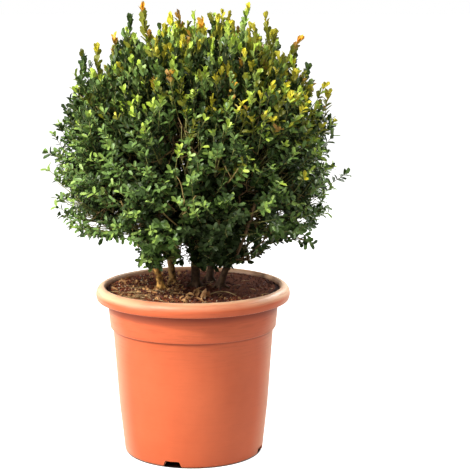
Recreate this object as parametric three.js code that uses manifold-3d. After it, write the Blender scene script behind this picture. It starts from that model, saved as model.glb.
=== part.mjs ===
// A box plant clipped to a ball, standing in its round plastic pot.
// Millimetres, +Z up. The origin is the centre of the pot's flat underside, and -Y is the front.

import * as THREE from 'three';
import { mergeVertices } from 'three/addons/utils/BufferGeometryUtils.js';
import Module from 'manifold-3d';

const wasm = await Module();
wasm.setup();

// Driving dimensions

// Gap kept between pieces that touch, and between a limb and the leaves beside it.
const CLEARANCE = 0.3;
const LEAF_CLEARANCE = 1;
const SEED = 21;

const POT = {
  segments: 34,
  thickness: 3,
  rimRadius: 150,
  rimCrestRadius: 142,
  rimInnerRadius: 134.5,
  rimTop: 262,
  rimWidest: 249,
  rimLowerEdge: 241,
  rimLipRadius: 148.6,
  throatRadius: 132,
  mouthRadius: 130,
  bandTop: 236,
  stepRadius: 128.5,
  stepHeight: 196,
  ledge: 4.2,
  waistRadius: 115.8,
  waistHeight: 75,
  footRadius: 107.8,
  footRounding: 2.6,
  footRingWidth: 8,
  padRadius: 80,
  channelHeight: 10,
  channelSlope: 4,
  floorThickness: 4,
};

// Four drain notches in the foot ring, the first one left of the front.
const NOTCH = { count: 4, firstAngle: -106.7, width: 26, topWidth: 22, height: 7.5 };

const SOIL = {
  moundRadius: 88,
  moundHeight: 256,
  shoulderRadius: 116,
  shoulderHeight: 252.5,
  edgeHeight: 250,
};

// Each stem stands on the soil at foot and ends in a fork that carries the named masses.
const STEMS = {
  front_left: {
    foot: [-49, -10],
    fork: [-61, -20, 304],
    footRadius: 9.5,
    radius: 5.6,
    carries: ['low_left', 'upper_left_front', 'lower_left'],
  },
  left_back: {
    foot: [-32, 36],
    fork: [-40, 47, 318],
    footRadius: 8.5,
    radius: 5.4,
    carries: ['lower_left_back', 'upper_left_back', 'low_back'],
  },
  centre: {
    foot: [4, 6],
    fork: [2, -4, 328],
    footRadius: 10.5,
    radius: 6.6,
    carries: ['top', 'upper_front', 'lower_front', 'lower_left_front'],
  },
  right: {
    foot: [42, -4],
    fork: [53, -9, 294],
    footRadius: 9,
    radius: 5.6,
    carries: ['low_right', 'low_front', 'lower_right_front', 'upper_right_front'],
  },
  back: {
    foot: [26, 44],
    fork: [34, 56, 314],
    footRadius: 9,
    radius: 5.6,
    carries: ['lower_right_back', 'lower_back', 'upper_right_back', 'low_right_back'],
  },
};
const STEM_SIDES = 8;
const STEM_RINGS = 5;
const STEM_TAPER = 0.86;
const FLARE_LENGTH = 9;

const BOUGH = { radius: 3.7, tipRadius: 2.7, sides: 6, rings: 5, startReach: 0.34, endReach: 0.4 };

// The clipped crown: a rounded, slightly square-shouldered dome over a flatter underside.
const CROWN = { radius: 212, top: 215, bottom: 122, topPower: 2.6, bottomPower: 4.5 };
const CORE = { radius: 174, top: 177, bottom: 96, topPower: 2.6, bottomPower: 4.5 };
const CROWN_CENTRE = new THREE.Vector3(3, 0, 455);
const CORE_DETAIL = 3;

// The leafless space inside the crown, where the boughs fan out.
const HOLLOW = { radius: 122, halfHeight: 150, centreHeight: 400, detail: 2 };

// Masses of the clipped crown, each one the leaves round its own direction, in degrees.
const MASS_RINGS = [
  { elevation: 90, firstAzimuth: 0, names: ['top'] },
  {
    elevation: 35,
    firstAzimuth: -90,
    names: ['upper_front', 'upper_right_front', 'upper_right_back', 'upper_left_back', 'upper_left_front'],
  },
  {
    elevation: -15,
    firstAzimuth: -77,
    names: [
      'lower_front',
      'lower_right_front',
      'lower_right_back',
      'lower_back',
      'lower_left_back',
      'lower_left',
      'lower_left_front',
    ],
  },
];
const MASS_GAP = 0.8;

// Low leafy branches under the crown: where the bough ends, and where the branch's tip reaches.
const LOW_BRANCHES = {
  low_left: { boughEnd: [-76, -52, 310], tip: [-92, -126, 314] },
  low_front: { boughEnd: [34, -46, 304], tip: [14, -134, 324] },
  low_right: { boughEnd: [84, -16, 304], tip: [176, -22, 330] },
  low_right_back: { boughEnd: [62, 84, 318], tip: [110, 150, 314] },
  low_back: { boughEnd: [-54, 86, 320], tip: [-88, 156, 316] },
};
const LOW_LEAVES = { start: 9, step: 14, tilt: 45 };

// The low branches keep under a ceiling, which is lower outside the given radius.
const LOW_CEILING = { radius: 130, inside: 352, outside: 338, gap: 1 };

const MASS_STEM = { radius: 2.5, tipRadius: 1.6, start: 13, sunk: 14, forks: 2, spread: 34, sides: 6 };

// Leafy shoots that stand out of the core, spread evenly over the crown.
const SHOOT = {
  count: 94,
  lowest: -47,
  jitter: 5,
  sunk: 9,
  radius: 3.6,
  lift: 5,
  liftBelow: 60,
  leafPairs: [0.6, 0.94],
  turns: 4,
  shortest: 0.97,
  longest: 1.04,
};

// A leaf stands for a small spray, so it is larger than life.
const LEAF = {
  length: 47,
  width: 30,
  thickness: 2.4,
  widest: 0.12,
  sunk: 0.6,
  rib: 0.35,
  spread: 60,
  spreadRange: 16,
  smallest: 0.9,
  largest: 1.06,
  endLeaf: 0.7,
};

// The crown's furthest tips.
const STRAY_TIPS = [
  [-74, -18, 691],
  [87, 12, 691],
  [164, -24, 642],
  [-118, 26, 645],
  [-171, -14, 620],
  [217, 18, 558],
  [-227, -12, 470],
  [245, 8, 436],
  [-40, 196, 590],
  [30, 226, 480],
];

const FINISH = {
  pot: { color: 0xdc7a52, roughness: 0.42 },
  soil: { color: 0x4a3226, roughness: 1 },
  wood: { color: 0x8a6a3c, roughness: 0.85 },
  foliage: { color: 0x4c5a2a, roughness: 0.6 },
};

// Helpers

function seededRandom(seed) {
  let state = seed;
  return () => {
    state = (Math.imul(state, 1664525) + 1013904223) >>> 0;
    return state / 2 ** 32;
  };
}

function toSolid(geometry) {
  const bare = geometry.clone();
  bare.deleteAttribute('normal');
  bare.deleteAttribute('uv');
  const merged = mergeVertices(bare);
  return new wasm.Manifold(
    new wasm.Mesh({
      numProp: 3,
      vertProperties: new Float32Array(merged.attributes.position.array),
      triVerts: new Uint32Array(merged.index.array),
    }),
  );
}

// The largest body of a solid: scraps that a cut leaves loose are dropped.
function largestBody(solid) {
  const bodies = solid.decompose();
  return bodies.reduce((best, body) => (body.volume() > best.volume() ? body : best));
}

function toGeometry(solid) {
  const mesh = solid.getMesh();
  const geometry = new THREE.BufferGeometry();
  geometry.setAttribute('position', new THREE.BufferAttribute(mesh.vertProperties, 3));
  geometry.setIndex(new THREE.BufferAttribute(mesh.triVerts, 1));
  geometry.computeVertexNormals();
  return geometry;
}

function namedMesh(name, geometry, finish) {
  const material = new THREE.MeshStandardMaterial({
    color: finish.color,
    roughness: finish.roughness,
    metalness: 0,
  });
  const mesh = new THREE.Mesh(geometry, material);
  mesh.name = name;
  return mesh;
}

function lathe(profile) {
  const points = profile.map(([radius, height]) => new THREE.Vector2(radius, height));
  const geometry = new THREE.LatheGeometry(points, POT.segments);
  geometry.rotateX(Math.PI / 2);
  return geometry;
}

function directionAt(azimuth, elevation) {
  const polar = THREE.MathUtils.degToRad(90 - elevation);
  const around = THREE.MathUtils.degToRad(azimuth);
  return new THREE.Vector3(
    Math.sin(polar) * Math.cos(around),
    Math.sin(polar) * Math.sin(around),
    Math.cos(polar),
  );
}

// How far a rounded dome reaches from its centre in a direction.
function reachOf(dome, direction) {
  const level = Math.hypot(direction.x, direction.y) / dome.radius;
  const above = direction.z > 0;
  const rise = Math.abs(direction.z) / (above ? dome.top : dome.bottom);
  const power = above ? dome.topPower : dome.bottomPower;
  return (level ** power + rise ** power) ** (-1 / power);
}

// A round limb along a curve: a cylinder whose rings are moved onto the curve.
function limb(curve, radiusAt, sides, rings) {
  const geometry = new THREE.CylinderGeometry(1, 1, 1, sides, rings);
  const frames = curve.computeFrenetFrames(rings, false);
  const position = geometry.attributes.position;
  const point = new THREE.Vector3();
  for (let i = 0; i < position.count; i += 1) {
    const ring = Math.round((position.getY(i) + 0.5) * rings);
    const radius = radiusAt(ring / rings);
    curve.getPointAt(ring / rings, point);
    point.addScaledVector(frames.normals[ring], position.getX(i) * radius);
    point.addScaledVector(frames.binormals[ring], -position.getZ(i) * radius);
    position.setXYZ(i, point.x, point.y, point.z);
  }
  return geometry;
}

// Turns a geometry that grows along +Y from its origin, so that it grows from a point in a direction.
function plant(geometry, point, direction, faceNormal) {
  const along = direction.clone().normalize();
  const across = new THREE.Vector3().crossVectors(along, faceNormal).normalize();
  const normal = new THREE.Vector3().crossVectors(across, along);
  const matrix = new THREE.Matrix4().makeBasis(across, along, normal).setPosition(point);
  return geometry.applyMatrix4(matrix);
}

function perpendicular(direction) {
  const helper = Math.abs(direction.z) < 0.9 ? new THREE.Vector3(0, 0, 1) : new THREE.Vector3(1, 0, 0);
  return new THREE.Vector3().crossVectors(direction, helper).normalize();
}

// Pot and soil

function outerWallRadius(height) {
  if (height < POT.waistHeight) {
    return THREE.MathUtils.mapLinear(height, 0, POT.waistHeight, POT.footRadius, POT.waistRadius);
  }
  const underLedge = POT.stepRadius - POT.ledge;
  return THREE.MathUtils.mapLinear(height, POT.waistHeight, POT.stepHeight, POT.waistRadius, underLedge);
}

const FLOOR_EDGE = POT.channelHeight + POT.floorThickness;

// The inside of the pot from its floor's centre up to the band's top, moved inwards by a gap.
function insideProfile(gap) {
  const inner = POT.thickness + gap;
  return [
    [0, POT.floorThickness + gap],
    [POT.padRadius - inner, POT.floorThickness + gap],
    [POT.padRadius + POT.channelSlope - inner, FLOOR_EDGE + gap],
    [outerWallRadius(FLOOR_EDGE) - inner, FLOOR_EDGE + gap],
    [POT.waistRadius - inner, POT.waistHeight],
    [outerWallRadius(POT.stepHeight) - inner, POT.stepHeight],
    [POT.stepRadius - inner, POT.stepHeight + POT.ledge],
    [POT.throatRadius - inner, POT.bandTop],
  ];
}

function buildPot() {
  const innerFoot = POT.footRadius - POT.footRounding - POT.footRingWidth;
  const skirtInner = POT.rimLipRadius - POT.thickness;
  const outside = [
    [0, 0],
    [POT.padRadius, 0],
    [POT.padRadius + POT.channelSlope, POT.channelHeight],
    [innerFoot - POT.footRounding / 2, POT.channelHeight],
    [innerFoot, 0],
    [POT.footRadius - POT.footRounding, 0],
    [outerWallRadius(POT.footRounding), POT.footRounding],
    [POT.waistRadius, POT.waistHeight],
    [POT.stepRadius - POT.ledge, POT.stepHeight],
    [POT.stepRadius, POT.stepHeight],
    [POT.throatRadius, POT.bandTop],
    [POT.throatRadius, POT.rimWidest - POT.thickness / 2],
    [POT.rimInnerRadius + POT.thickness, POT.rimTop - 2.5 * POT.thickness],
    [POT.rimCrestRadius, POT.rimTop - POT.thickness],
    [skirtInner, POT.rimWidest + POT.thickness],
    [skirtInner, POT.rimLowerEdge],
    [POT.rimLipRadius, POT.rimLowerEdge],
    [POT.rimRadius, POT.rimWidest],
    [POT.rimRadius - POT.thickness / 2, (POT.rimWidest + POT.rimTop) / 2],
    [(POT.rimRadius + POT.rimCrestRadius) / 2, POT.rimTop - POT.thickness / 2],
    [POT.rimCrestRadius, POT.rimTop],
    [(POT.rimCrestRadius + POT.rimInnerRadius) / 2, POT.rimTop - POT.thickness / 2],
    [POT.rimInnerRadius, POT.rimTop - 2 * POT.thickness],
    [POT.mouthRadius, SOIL.edgeHeight],
  ];
  let solid = toSolid(lathe([...outside, ...insideProfile(0).reverse()]));
  for (let i = 0; i < NOTCH.count; i += 1) {
    const notch = notchCutter();
    notch.rotateZ(THREE.MathUtils.degToRad(NOTCH.firstAngle + (i * 360) / NOTCH.count));
    solid = solid.subtract(toSolid(notch));
  }
  return namedMesh('pot', toGeometry(solid), FINISH.pot);
}

// A trapezoid that runs out through the foot ring along +X.
function notchCutter() {
  const below = POT.footRounding;
  const shape = new THREE.Shape();
  shape.moveTo(-NOTCH.width / 2, -below);
  shape.lineTo(NOTCH.width / 2, -below);
  shape.lineTo(NOTCH.topWidth / 2, NOTCH.height);
  shape.lineTo(-NOTCH.topWidth / 2, NOTCH.height);
  shape.closePath();
  const start = POT.footRadius - POT.footRounding - 2 * POT.footRingWidth;
  const depth = POT.rimRadius - start;
  const geometry = new THREE.ExtrudeGeometry(shape, { depth, bevelEnabled: false });
  geometry.rotateX(Math.PI / 2);
  geometry.rotateZ(Math.PI / 2);
  geometry.translate(start, 0, 0);
  return geometry;
}

function buildSoil() {
  const edge = POT.throatRadius - POT.thickness - CLEARANCE;
  const profile = [
    ...insideProfile(CLEARANCE),
    [edge, SOIL.edgeHeight],
    [SOIL.shoulderRadius, SOIL.shoulderHeight],
    [SOIL.moundRadius, SOIL.moundHeight],
    [0, SOIL.moundHeight],
  ];
  return namedMesh('soil', toGeometry(toSolid(lathe(profile))), FINISH.soil);
}

// Stems

function stemCurve({ foot, fork }) {
  const start = new THREE.Vector3(foot[0], foot[1], SOIL.moundHeight + CLEARANCE);
  const end = new THREE.Vector3(...fork);
  const rise = (end.z - start.z) / 3;
  const lean = new THREE.Vector3().subVectors(end, start).normalize();
  return new THREE.CubicBezierCurve3(
    start,
    start.clone().setZ(start.z + rise),
    end.clone().addScaledVector(lean, -rise),
    end,
  );
}

function stemGeometry(stem, curve, growth = 0) {
  const length = curve.getLength();
  const radiusAt = (u) => {
    const plain = THREE.MathUtils.lerp(stem.radius, stem.radius * STEM_TAPER, u);
    const flare = (stem.footRadius - stem.radius) * Math.exp((-u * length) / FLARE_LENGTH);
    return plain + flare + growth;
  };
  return limb(curve, radiusAt, STEM_SIDES, STEM_RINGS);
}

// Masses: where each one lies and where its bough ends

const masses = new Map();
for (const ring of MASS_RINGS) {
  ring.names.forEach((name, i) => {
    const azimuth = ring.firstAzimuth + (i * 360) / ring.names.length;
    const direction = directionAt(azimuth, ring.elevation);
    masses.set(name, { name, direction, boughEnd: insideHollow(direction), growth: direction });
  });
}
for (const [name, branch] of Object.entries(LOW_BRANCHES)) {
  const boughEnd = new THREE.Vector3(...branch.boughEnd);
  const tip = new THREE.Vector3(...branch.tip);
  const growth = new THREE.Vector3().subVectors(tip, boughEnd).normalize();
  masses.set(name, { name, low: true, tip, boughEnd, growth });
}

// The point just inside the hollow's surface, in a direction from the crown's centre.
function insideHollow(direction) {
  const stretch = new THREE.Vector3(HOLLOW.radius, HOLLOW.radius, HOLLOW.halfHeight);
  const offset = CROWN_CENTRE.clone().sub(new THREE.Vector3(0, 0, HOLLOW.centreHeight)).divide(stretch);
  const heading = direction.clone().divide(stretch);
  const a = heading.lengthSq();
  const b = offset.dot(heading);
  const distance = (-b + Math.sqrt(b * b - a * (offset.lengthSq() - 1))) / a;
  return CROWN_CENTRE.clone().addScaledVector(direction, distance - MASS_STEM.start);
}

// Boughs

// Places round the end of a fork, matched to the sides that its boughs leave to.
function forkPlaces(fork, tangent, ends) {
  const u = perpendicular(tangent);
  const v = new THREE.Vector3().crossVectors(tangent, u);
  const middle = ends.reduce((sum, end) => sum.add(end), new THREE.Vector3()).divideScalar(ends.length);
  const wanted = ends.map((end) => {
    const out = end.clone().sub(middle);
    return Math.atan2(out.dot(v), out.dot(u));
  });
  const order = ends.map((_, i) => i).sort((i, j) => wanted[i] - wanted[j]);
  const step = (2 * Math.PI) / ends.length;
  const turns = order.map((index, place) => wanted[index] - place * step);
  const turn = Math.atan2(
    turns.reduce((sum, t) => sum + Math.sin(t), 0),
    turns.reduce((sum, t) => sum + Math.cos(t), 0),
  );
  const aside = (BOUGH.radius + 2 * CLEARANCE) / Math.sin(Math.PI / ends.length);
  const places = [];
  order.forEach((index, place) => {
    const angle = turn + place * step;
    places[index] = fork
      .clone()
      .addScaledVector(tangent, CLEARANCE)
      .addScaledVector(u, Math.cos(angle) * aside)
      .addScaledVector(v, Math.sin(angle) * aside);
  });
  return places;
}

function boughCurve(start, tangent, mass) {
  const span = start.distanceTo(mass.boughEnd);
  return new THREE.CubicBezierCurve3(
    start,
    start.clone().addScaledVector(tangent, span * BOUGH.startReach),
    mass.boughEnd.clone().addScaledVector(mass.growth, -span * BOUGH.endReach),
    mass.boughEnd,
  );
}

function boughGeometry(curve, growth = 0) {
  const radiusAt = (u) => THREE.MathUtils.lerp(BOUGH.radius, BOUGH.tipRadius, u) + growth;
  return limb(curve, radiusAt, BOUGH.sides, BOUGH.rings);
}

const stemGroup = new THREE.Group();
const boughGroup = new THREE.Group();

// The space that stems and boughs take up, with the clearance that leaves keep to them.
let woodSpace = null;

function keepClear(geometry) {
  const solid = toSolid(geometry);
  woodSpace = woodSpace ? woodSpace.add(solid) : solid;
}

for (const [name, stem] of Object.entries(STEMS)) {
  const curve = stemCurve(stem);
  stemGroup.add(namedMesh('stem_' + name, stemGeometry(stem, curve), FINISH.wood));
  keepClear(stemGeometry(stem, curve, LEAF_CLEARANCE));
  const fork = curve.getPointAt(1);
  const tangent = curve.getTangentAt(1);
  const carried = stem.carries.map((massName) => masses.get(massName));
  const places = forkPlaces(fork, tangent, carried.map((mass) => mass.boughEnd));
  carried.forEach((mass, i) => {
    const path = boughCurve(places[i], tangent, mass);
    boughGroup.add(namedMesh('bough_' + mass.name, boughGeometry(path), FINISH.wood));
    keepClear(boughGeometry(path, LEAF_CLEARANCE));
  });
}

// Foliage

const crownMasses = [...masses.values()].filter((mass) => !mass.low);

function nearestMass(direction) {
  return crownMasses.reduce((best, mass) =>
    mass.direction.dot(direction) > best.direction.dot(direction) ? mass : best,
  );
}

// A crown mass keeps to its side of the plane to each neighbour, and above the low branches.
function insideMassSpace(mass, points) {
  return points.every((point) => {
    const inner = Math.hypot(point.x, point.y) < LOW_CEILING.radius;
    const ceiling = inner ? LOW_CEILING.inside : LOW_CEILING.outside;
    if (mass.low) return point.z < ceiling - LOW_CEILING.gap;
    if (point.z < ceiling) return false;
    const offset = point.clone().sub(CROWN_CENTRE);
    return crownMasses.every((other) => {
      if (other === mass) return true;
      const normal = mass.direction.clone().sub(other.direction).normalize();
      return offset.dot(normal) > MASS_GAP / 2;
    });
  });
}

function pointsOf(geometry) {
  const position = geometry.attributes.position;
  const points = [];
  for (let i = 0; i < position.count; i += 1) {
    points.push(new THREE.Vector3().fromBufferAttribute(position, i));
  }
  return points;
}

function domeSolid(dome) {
  const geometry = new THREE.IcosahedronGeometry(1, CORE_DETAIL);
  const position = geometry.attributes.position;
  for (let i = 0; i < position.count; i += 1) {
    const direction = new THREE.Vector3().fromBufferAttribute(position, i).normalize();
    const point = CROWN_CENTRE.clone().addScaledVector(direction, reachOf(dome, direction));
    position.setXYZ(i, point.x, point.y, point.z);
  }
  return toSolid(geometry);
}

function hollowSolid() {
  const geometry = new THREE.IcosahedronGeometry(1, HOLLOW.detail);
  geometry.scale(HOLLOW.radius, HOLLOW.radius, HOLLOW.halfHeight);
  geometry.translate(0, 0, HOLLOW.centreHeight);
  return toSolid(geometry);
}

const coreShell = domeSolid(CORE).subtract(hollowSolid());

// A block that fills everything beyond the plane between a mass and its neighbour.
function blockBeyond(mass, other) {
  const normal = mass.direction.clone().sub(other.direction).normalize();
  const size = 3 * CROWN.radius;
  const block = new THREE.BoxGeometry(size, size, size);
  const centre = CROWN_CENTRE.clone().addScaledVector(normal, MASS_GAP / 2 - size / 2);
  return toSolid(plant(block, centre, normal, perpendicular(normal)));
}

function massCore(mass) {
  let solid = coreShell;
  for (const other of crownMasses) {
    if (other !== mass) solid = solid.subtract(blockBeyond(mass, other));
  }
  return largestBody(solid);
}

function twigGeometry(start, end, radius) {
  const along = new THREE.Vector3().subVectors(end, start);
  const geometry = new THREE.ConeGeometry(radius, along.length(), 3);
  geometry.translate(0, along.length() / 2, 0);
  return plant(geometry, start, along, perpendicular(along.clone().normalize()));
}

// A flat eight-faced leaf, widest beyond its middle, grown from a point that is sunk in the twig.
function leafGeometry(point, direction, faceNormal, scale) {
  const geometry = new THREE.OctahedronGeometry(1, 0);
  const position = geometry.attributes.position;
  for (let i = 0; i < position.count; i += 1) {
    if (Math.abs(position.getY(i)) < 0.5) position.setY(i, LEAF.widest);
  }
  geometry.scale(LEAF.width / 2, LEAF.length / 2, LEAF.thickness / 2);
  geometry.translate(0, LEAF.length / 2 - LEAF.sunk, 0);
  geometry.scale(scale, scale, 1);
  return plant(geometry, point, direction, faceNormal);
}

// Two leaves that spread to both sides of a twig.
function leafPair(point, along, outward, random) {
  return [1, -1].map((sign) => {
    const spread = THREE.MathUtils.degToRad(LEAF.spread + (random() - 0.5) * LEAF.spreadRange);
    const heading = along.clone().multiplyScalar(Math.cos(spread));
    heading.addScaledVector(outward, sign * Math.sin(spread));
    const scale = THREE.MathUtils.lerp(LEAF.smallest, LEAF.largest, random());
    return leafGeometry(point, heading, along, scale);
  });
}

// A shoot: a twig with crossing pairs of leaves and a leaf at its end.
function shootPieces(root, tip, turn, random) {
  const along = new THREE.Vector3().subVectors(tip, root).normalize();
  const twigEnd = tip.clone().addScaledVector(along, -(LEAF.length * LEAF.endLeaf - LEAF.sunk));
  const ribEnd = twigEnd.clone().addScaledVector(along, LEAF.length * LEAF.rib);
  const pieces = [twigGeometry(root, ribEnd, SHOOT.radius)];
  const side = perpendicular(along).applyAxisAngle(along, turn);
  SHOOT.leafPairs.forEach((share, pair) => {
    const point = new THREE.Vector3().lerpVectors(root, twigEnd, share);
    const outward = side.clone().applyAxisAngle(along, (pair * Math.PI) / 2);
    pieces.push(...leafPair(point, along, outward, random));
  });
  pieces.push(leafGeometry(twigEnd, along, side, LEAF.endLeaf));
  return pieces;
}

// Roots and tips of the shoots of every mass.
const shoots = new Map([...masses.keys()].map((name) => [name, []]));
const layoutRandom = seededRandom(SEED);

function addCrownShoot(direction, tip) {
  const mass = nearestMass(direction);
  const depth = reachOf(CORE, direction) - SHOOT.sunk;
  const root = CROWN_CENTRE.clone().addScaledVector(direction, depth);
  shoots.get(mass.name).push({ root, tip });
}

for (const place of STRAY_TIPS) {
  const tip = new THREE.Vector3(...place);
  addCrownShoot(tip.clone().sub(CROWN_CENTRE).normalize(), tip);
}
const GOLDEN_ANGLE = 180 * (3 - Math.sqrt(5));
for (let i = 0; i < SHOOT.count; i += 1) {
  const height = 1 - (2 * (i + 0.5)) / SHOOT.count;
  const elevation = THREE.MathUtils.radToDeg(Math.asin(height)) + (layoutRandom() - 0.5) * SHOOT.jitter;
  const azimuth = i * GOLDEN_ANGLE + (layoutRandom() - 0.5) * SHOOT.jitter;
  const reach = THREE.MathUtils.lerp(SHOOT.shortest, SHOOT.longest, layoutRandom());
  if (elevation < SHOOT.lowest) continue;
  const lift = elevation < SHOOT.liftBelow ? SHOOT.lift : 0;
  const heading = directionAt(azimuth, elevation + lift);
  const tip = CROWN_CENTRE.clone().addScaledVector(heading, reachOf(CROWN, heading) * reach);
  addCrownShoot(directionAt(azimuth, elevation), tip);
}

// The stem of a mass runs on from its bough's tip and forks as it enters the leaves.
function massStemPieces(mass, length) {
  const start = mass.boughEnd.clone().addScaledVector(mass.growth, CLEARANCE);
  const stem = new THREE.CylinderGeometry(MASS_STEM.tipRadius, MASS_STEM.radius, length, MASS_STEM.sides);
  stem.translate(0, length / 2, 0);
  const side = perpendicular(mass.growth);
  const pieces = [plant(stem, start, mass.growth, side)];
  if (mass.low) return pieces;
  const forkPoint = start.clone().addScaledVector(mass.growth, MASS_STEM.start / 2);
  for (let i = 0; i < MASS_STEM.forks; i += 1) {
    const outward = side.clone().applyAxisAngle(mass.growth, (i * 2 * Math.PI) / MASS_STEM.forks);
    const end = forkPoint.clone();
    end.addScaledVector(mass.growth, length);
    end.addScaledVector(outward, length * Math.tan(THREE.MathUtils.degToRad(MASS_STEM.spread)));
    pieces.push(twigGeometry(forkPoint, end, MASS_STEM.radius));
  }
  return pieces;
}

// A low branch has no core: pairs of leaves cross each other all along its stem.
function lowBranchLeaves(mass, length, random) {
  const side = perpendicular(mass.growth);
  const leaves = [];
  let pair = 0;
  for (let at = LOW_LEAVES.start; at < length - LOW_LEAVES.step / 2; at += LOW_LEAVES.step) {
    const point = mass.boughEnd.clone().addScaledVector(mass.growth, at);
    const turn = THREE.MathUtils.degToRad(LOW_LEAVES.tilt) + (pair * Math.PI) / 2;
    leaves.push(...leafPair(point, mass.growth, side.clone().applyAxisAngle(mass.growth, turn), random));
    pair += 1;
  }
  const end = mass.boughEnd.clone().addScaledVector(mass.growth, length - LEAF.sunk);
  leaves.push(leafGeometry(end, mass.growth, side, LEAF.endLeaf));
  return leaves;
}

// A twig or leaf is left out where it would leave its mass's space or touch a limb.
function fits(mass, geometry) {
  return insideMassSpace(mass, pointsOf(geometry)) && toSolid(geometry).intersect(woodSpace).isEmpty();
}

// A shoot is turned about its twig until as many of its leaves as can be have room.
function bestShoot(mass, root, tip, random) {
  let best = [];
  const start = random() * Math.PI;
  for (let i = 0; i < SHOOT.turns; i += 1) {
    const turn = start + (i * Math.PI) / (2 * SHOOT.turns);
    const [twig, ...leaves] = shootPieces(root, tip, turn, random);
    const kept = fits(mass, twig) ? [twig, ...leaves.filter((leaf) => fits(mass, leaf))] : [];
    if (kept.length > best.length) best = kept;
  }
  return best;
}

function buildMass(mass, index) {
  const random = seededRandom(SEED + index + 1);
  const low = Boolean(mass.low);
  const stemLength = low
    ? mass.boughEnd.distanceTo(mass.tip) - LEAF.length * LEAF.endLeaf + LEAF.sunk
    : MASS_STEM.start + MASS_STEM.sunk;
  let solid = low ? null : massCore(mass);
  const join = (geometry) => {
    const piece = toSolid(geometry);
    solid = solid ? solid.add(piece) : piece;
  };
  massStemPieces(mass, stemLength).forEach(join);
  if (low) lowBranchLeaves(mass, stemLength, random).filter((leaf) => fits(mass, leaf)).forEach(join);
  for (const { root, tip } of shoots.get(mass.name)) bestShoot(mass, root, tip, random).forEach(join);
  return namedMesh('foliage_' + mass.name, toGeometry(largestBody(solid)), FINISH.foliage);
}

const foliageGroup = new THREE.Group();
[...masses.values()].forEach((mass, index) => foliageGroup.add(buildMass(mass, index)));

const plantInPot = new THREE.Group();
plantInPot.add(buildPot(), buildSoil(), stemGroup, boughGroup, foliageGroup);

export default plantInPot;
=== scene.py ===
# Looks of a box plant clipped to a ball, standing in its round plastic pot.
# Metres, +Z up. The origin is the centre of the pot's flat underside, and -Y is the front.

import math
import random
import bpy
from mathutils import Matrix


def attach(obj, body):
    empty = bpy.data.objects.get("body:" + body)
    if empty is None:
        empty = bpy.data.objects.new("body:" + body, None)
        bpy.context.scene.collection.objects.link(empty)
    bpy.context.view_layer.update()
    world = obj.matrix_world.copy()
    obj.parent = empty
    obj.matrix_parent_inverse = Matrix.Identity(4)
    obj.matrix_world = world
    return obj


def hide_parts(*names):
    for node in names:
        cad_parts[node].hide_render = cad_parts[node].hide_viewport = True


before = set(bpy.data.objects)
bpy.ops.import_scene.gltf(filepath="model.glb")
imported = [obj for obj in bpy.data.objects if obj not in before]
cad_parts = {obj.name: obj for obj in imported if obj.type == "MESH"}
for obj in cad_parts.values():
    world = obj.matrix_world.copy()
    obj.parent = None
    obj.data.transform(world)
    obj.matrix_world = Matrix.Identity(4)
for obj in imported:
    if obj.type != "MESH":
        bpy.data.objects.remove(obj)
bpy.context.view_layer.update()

from types import SimpleNamespace as Named

import bpy
import numpy as np
from mathutils import Matrix, Vector, noise

MM = 0.001
SEED = 21
UP = Vector((0, 0, 1))

# The photograph's viewpoint
CAMERA = Named(
    distance=2.2,
    height=0.7225,
    pitch=9.90,
    yaw=1.687,
    focal_pixels=1449.6,
    image_pixels=470,
    sensor_mm=36,
)

# The pot's sizes, in millimetres
POT = Named(
    segments=144,
    thickness=3,
    rim_radius=150,
    rim_crest_radius=138.8,
    rim_inner_radius=134.5,
    rim_top=262,
    rim_widest=249,
    rim_lower_edge=241,
    rim_lip_radius=148.6,
    throat_radius=132,
    mouth_radius=130,
    mouth_height=251.5,
    band_top=236,
    step_radius=128.5,
    step_height=197.6,
    ledge=4.2,
    waist_radius=115.8,
    waist_height=75,
    foot_radius=107.8,
    foot_rounding=2.6,
    foot_ring_width=8,
    pad_radius=80,
    channel_height=10,
    channel_slope=4,
    floor_thickness=4,
)
NOTCH = Named(count=4, first_angle=-107.9, width=38, top_width=22, height=9.8, depth=30)

SOIL = Named(
    radius=133.2, mound_radius=88, mound_height=256.5, shoulder_radius=116, shoulder_height=256,
    edge_height=255.5, under_edge=(131, 252.4), edge=(133.9, 254.8), gap=0.3, segments=132, rings=58,
    relief=(("soil_lumps", 16, 4.0), ("soil_crumbs", 4.5, 4.2)),
)

# Each stem stands on the soil at foot and ends in a fork that carries the named masses.
STEMS = {
    "front_left": Named(
        foot=(-49, -10), fork=(-61, -20, 304), foot_radius=9.5, radius=5.6,
        carries=("low_left", "upper_left_front", "lower_left"),
    ),
    "left_back": Named(
        foot=(-32, 36), fork=(-40, 47, 318), foot_radius=8.5, radius=5.4,
        carries=("lower_left_back", "upper_left_back", "low_back"),
    ),
    "centre": Named(
        foot=(4, 6), fork=(2, -4, 328), foot_radius=10.5, radius=6.6,
        carries=("top", "upper_front", "lower_front", "lower_left_front"),
    ),
    "right": Named(
        foot=(42, -4), fork=(53, -9, 294), foot_radius=9, radius=5.6,
        carries=("low_right", "low_front", "lower_right_front", "upper_right_front"),
    ),
    "back": Named(
        foot=(26, 44), fork=(34, 56, 314), foot_radius=9, radius=5.6,
        carries=("lower_right_back", "lower_back", "upper_right_back", "low_right_back"),
    ),
}
STEM_FOOT, STEM_TAPER = 1.12, 0.86
ROOTS = Named(count=5, reach=(1.15, 1.7), height=(7, 14), end_radius=1.5)
STUBS = Named(share=0.6, along=(0.15, 0.6), length=(6, 12), radii=(1.9, 1.4))
BARK = Named(voxel=1.3, relief=(("bark_knots", 8, 1.9), ("bark_cracks", 2.6, 0.9)))
BOUGH = Named(radius=3.7, tip_radius=2.7, start_reach=0.34, end_reach=0.4, overlap=7, aside=4.3)

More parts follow.
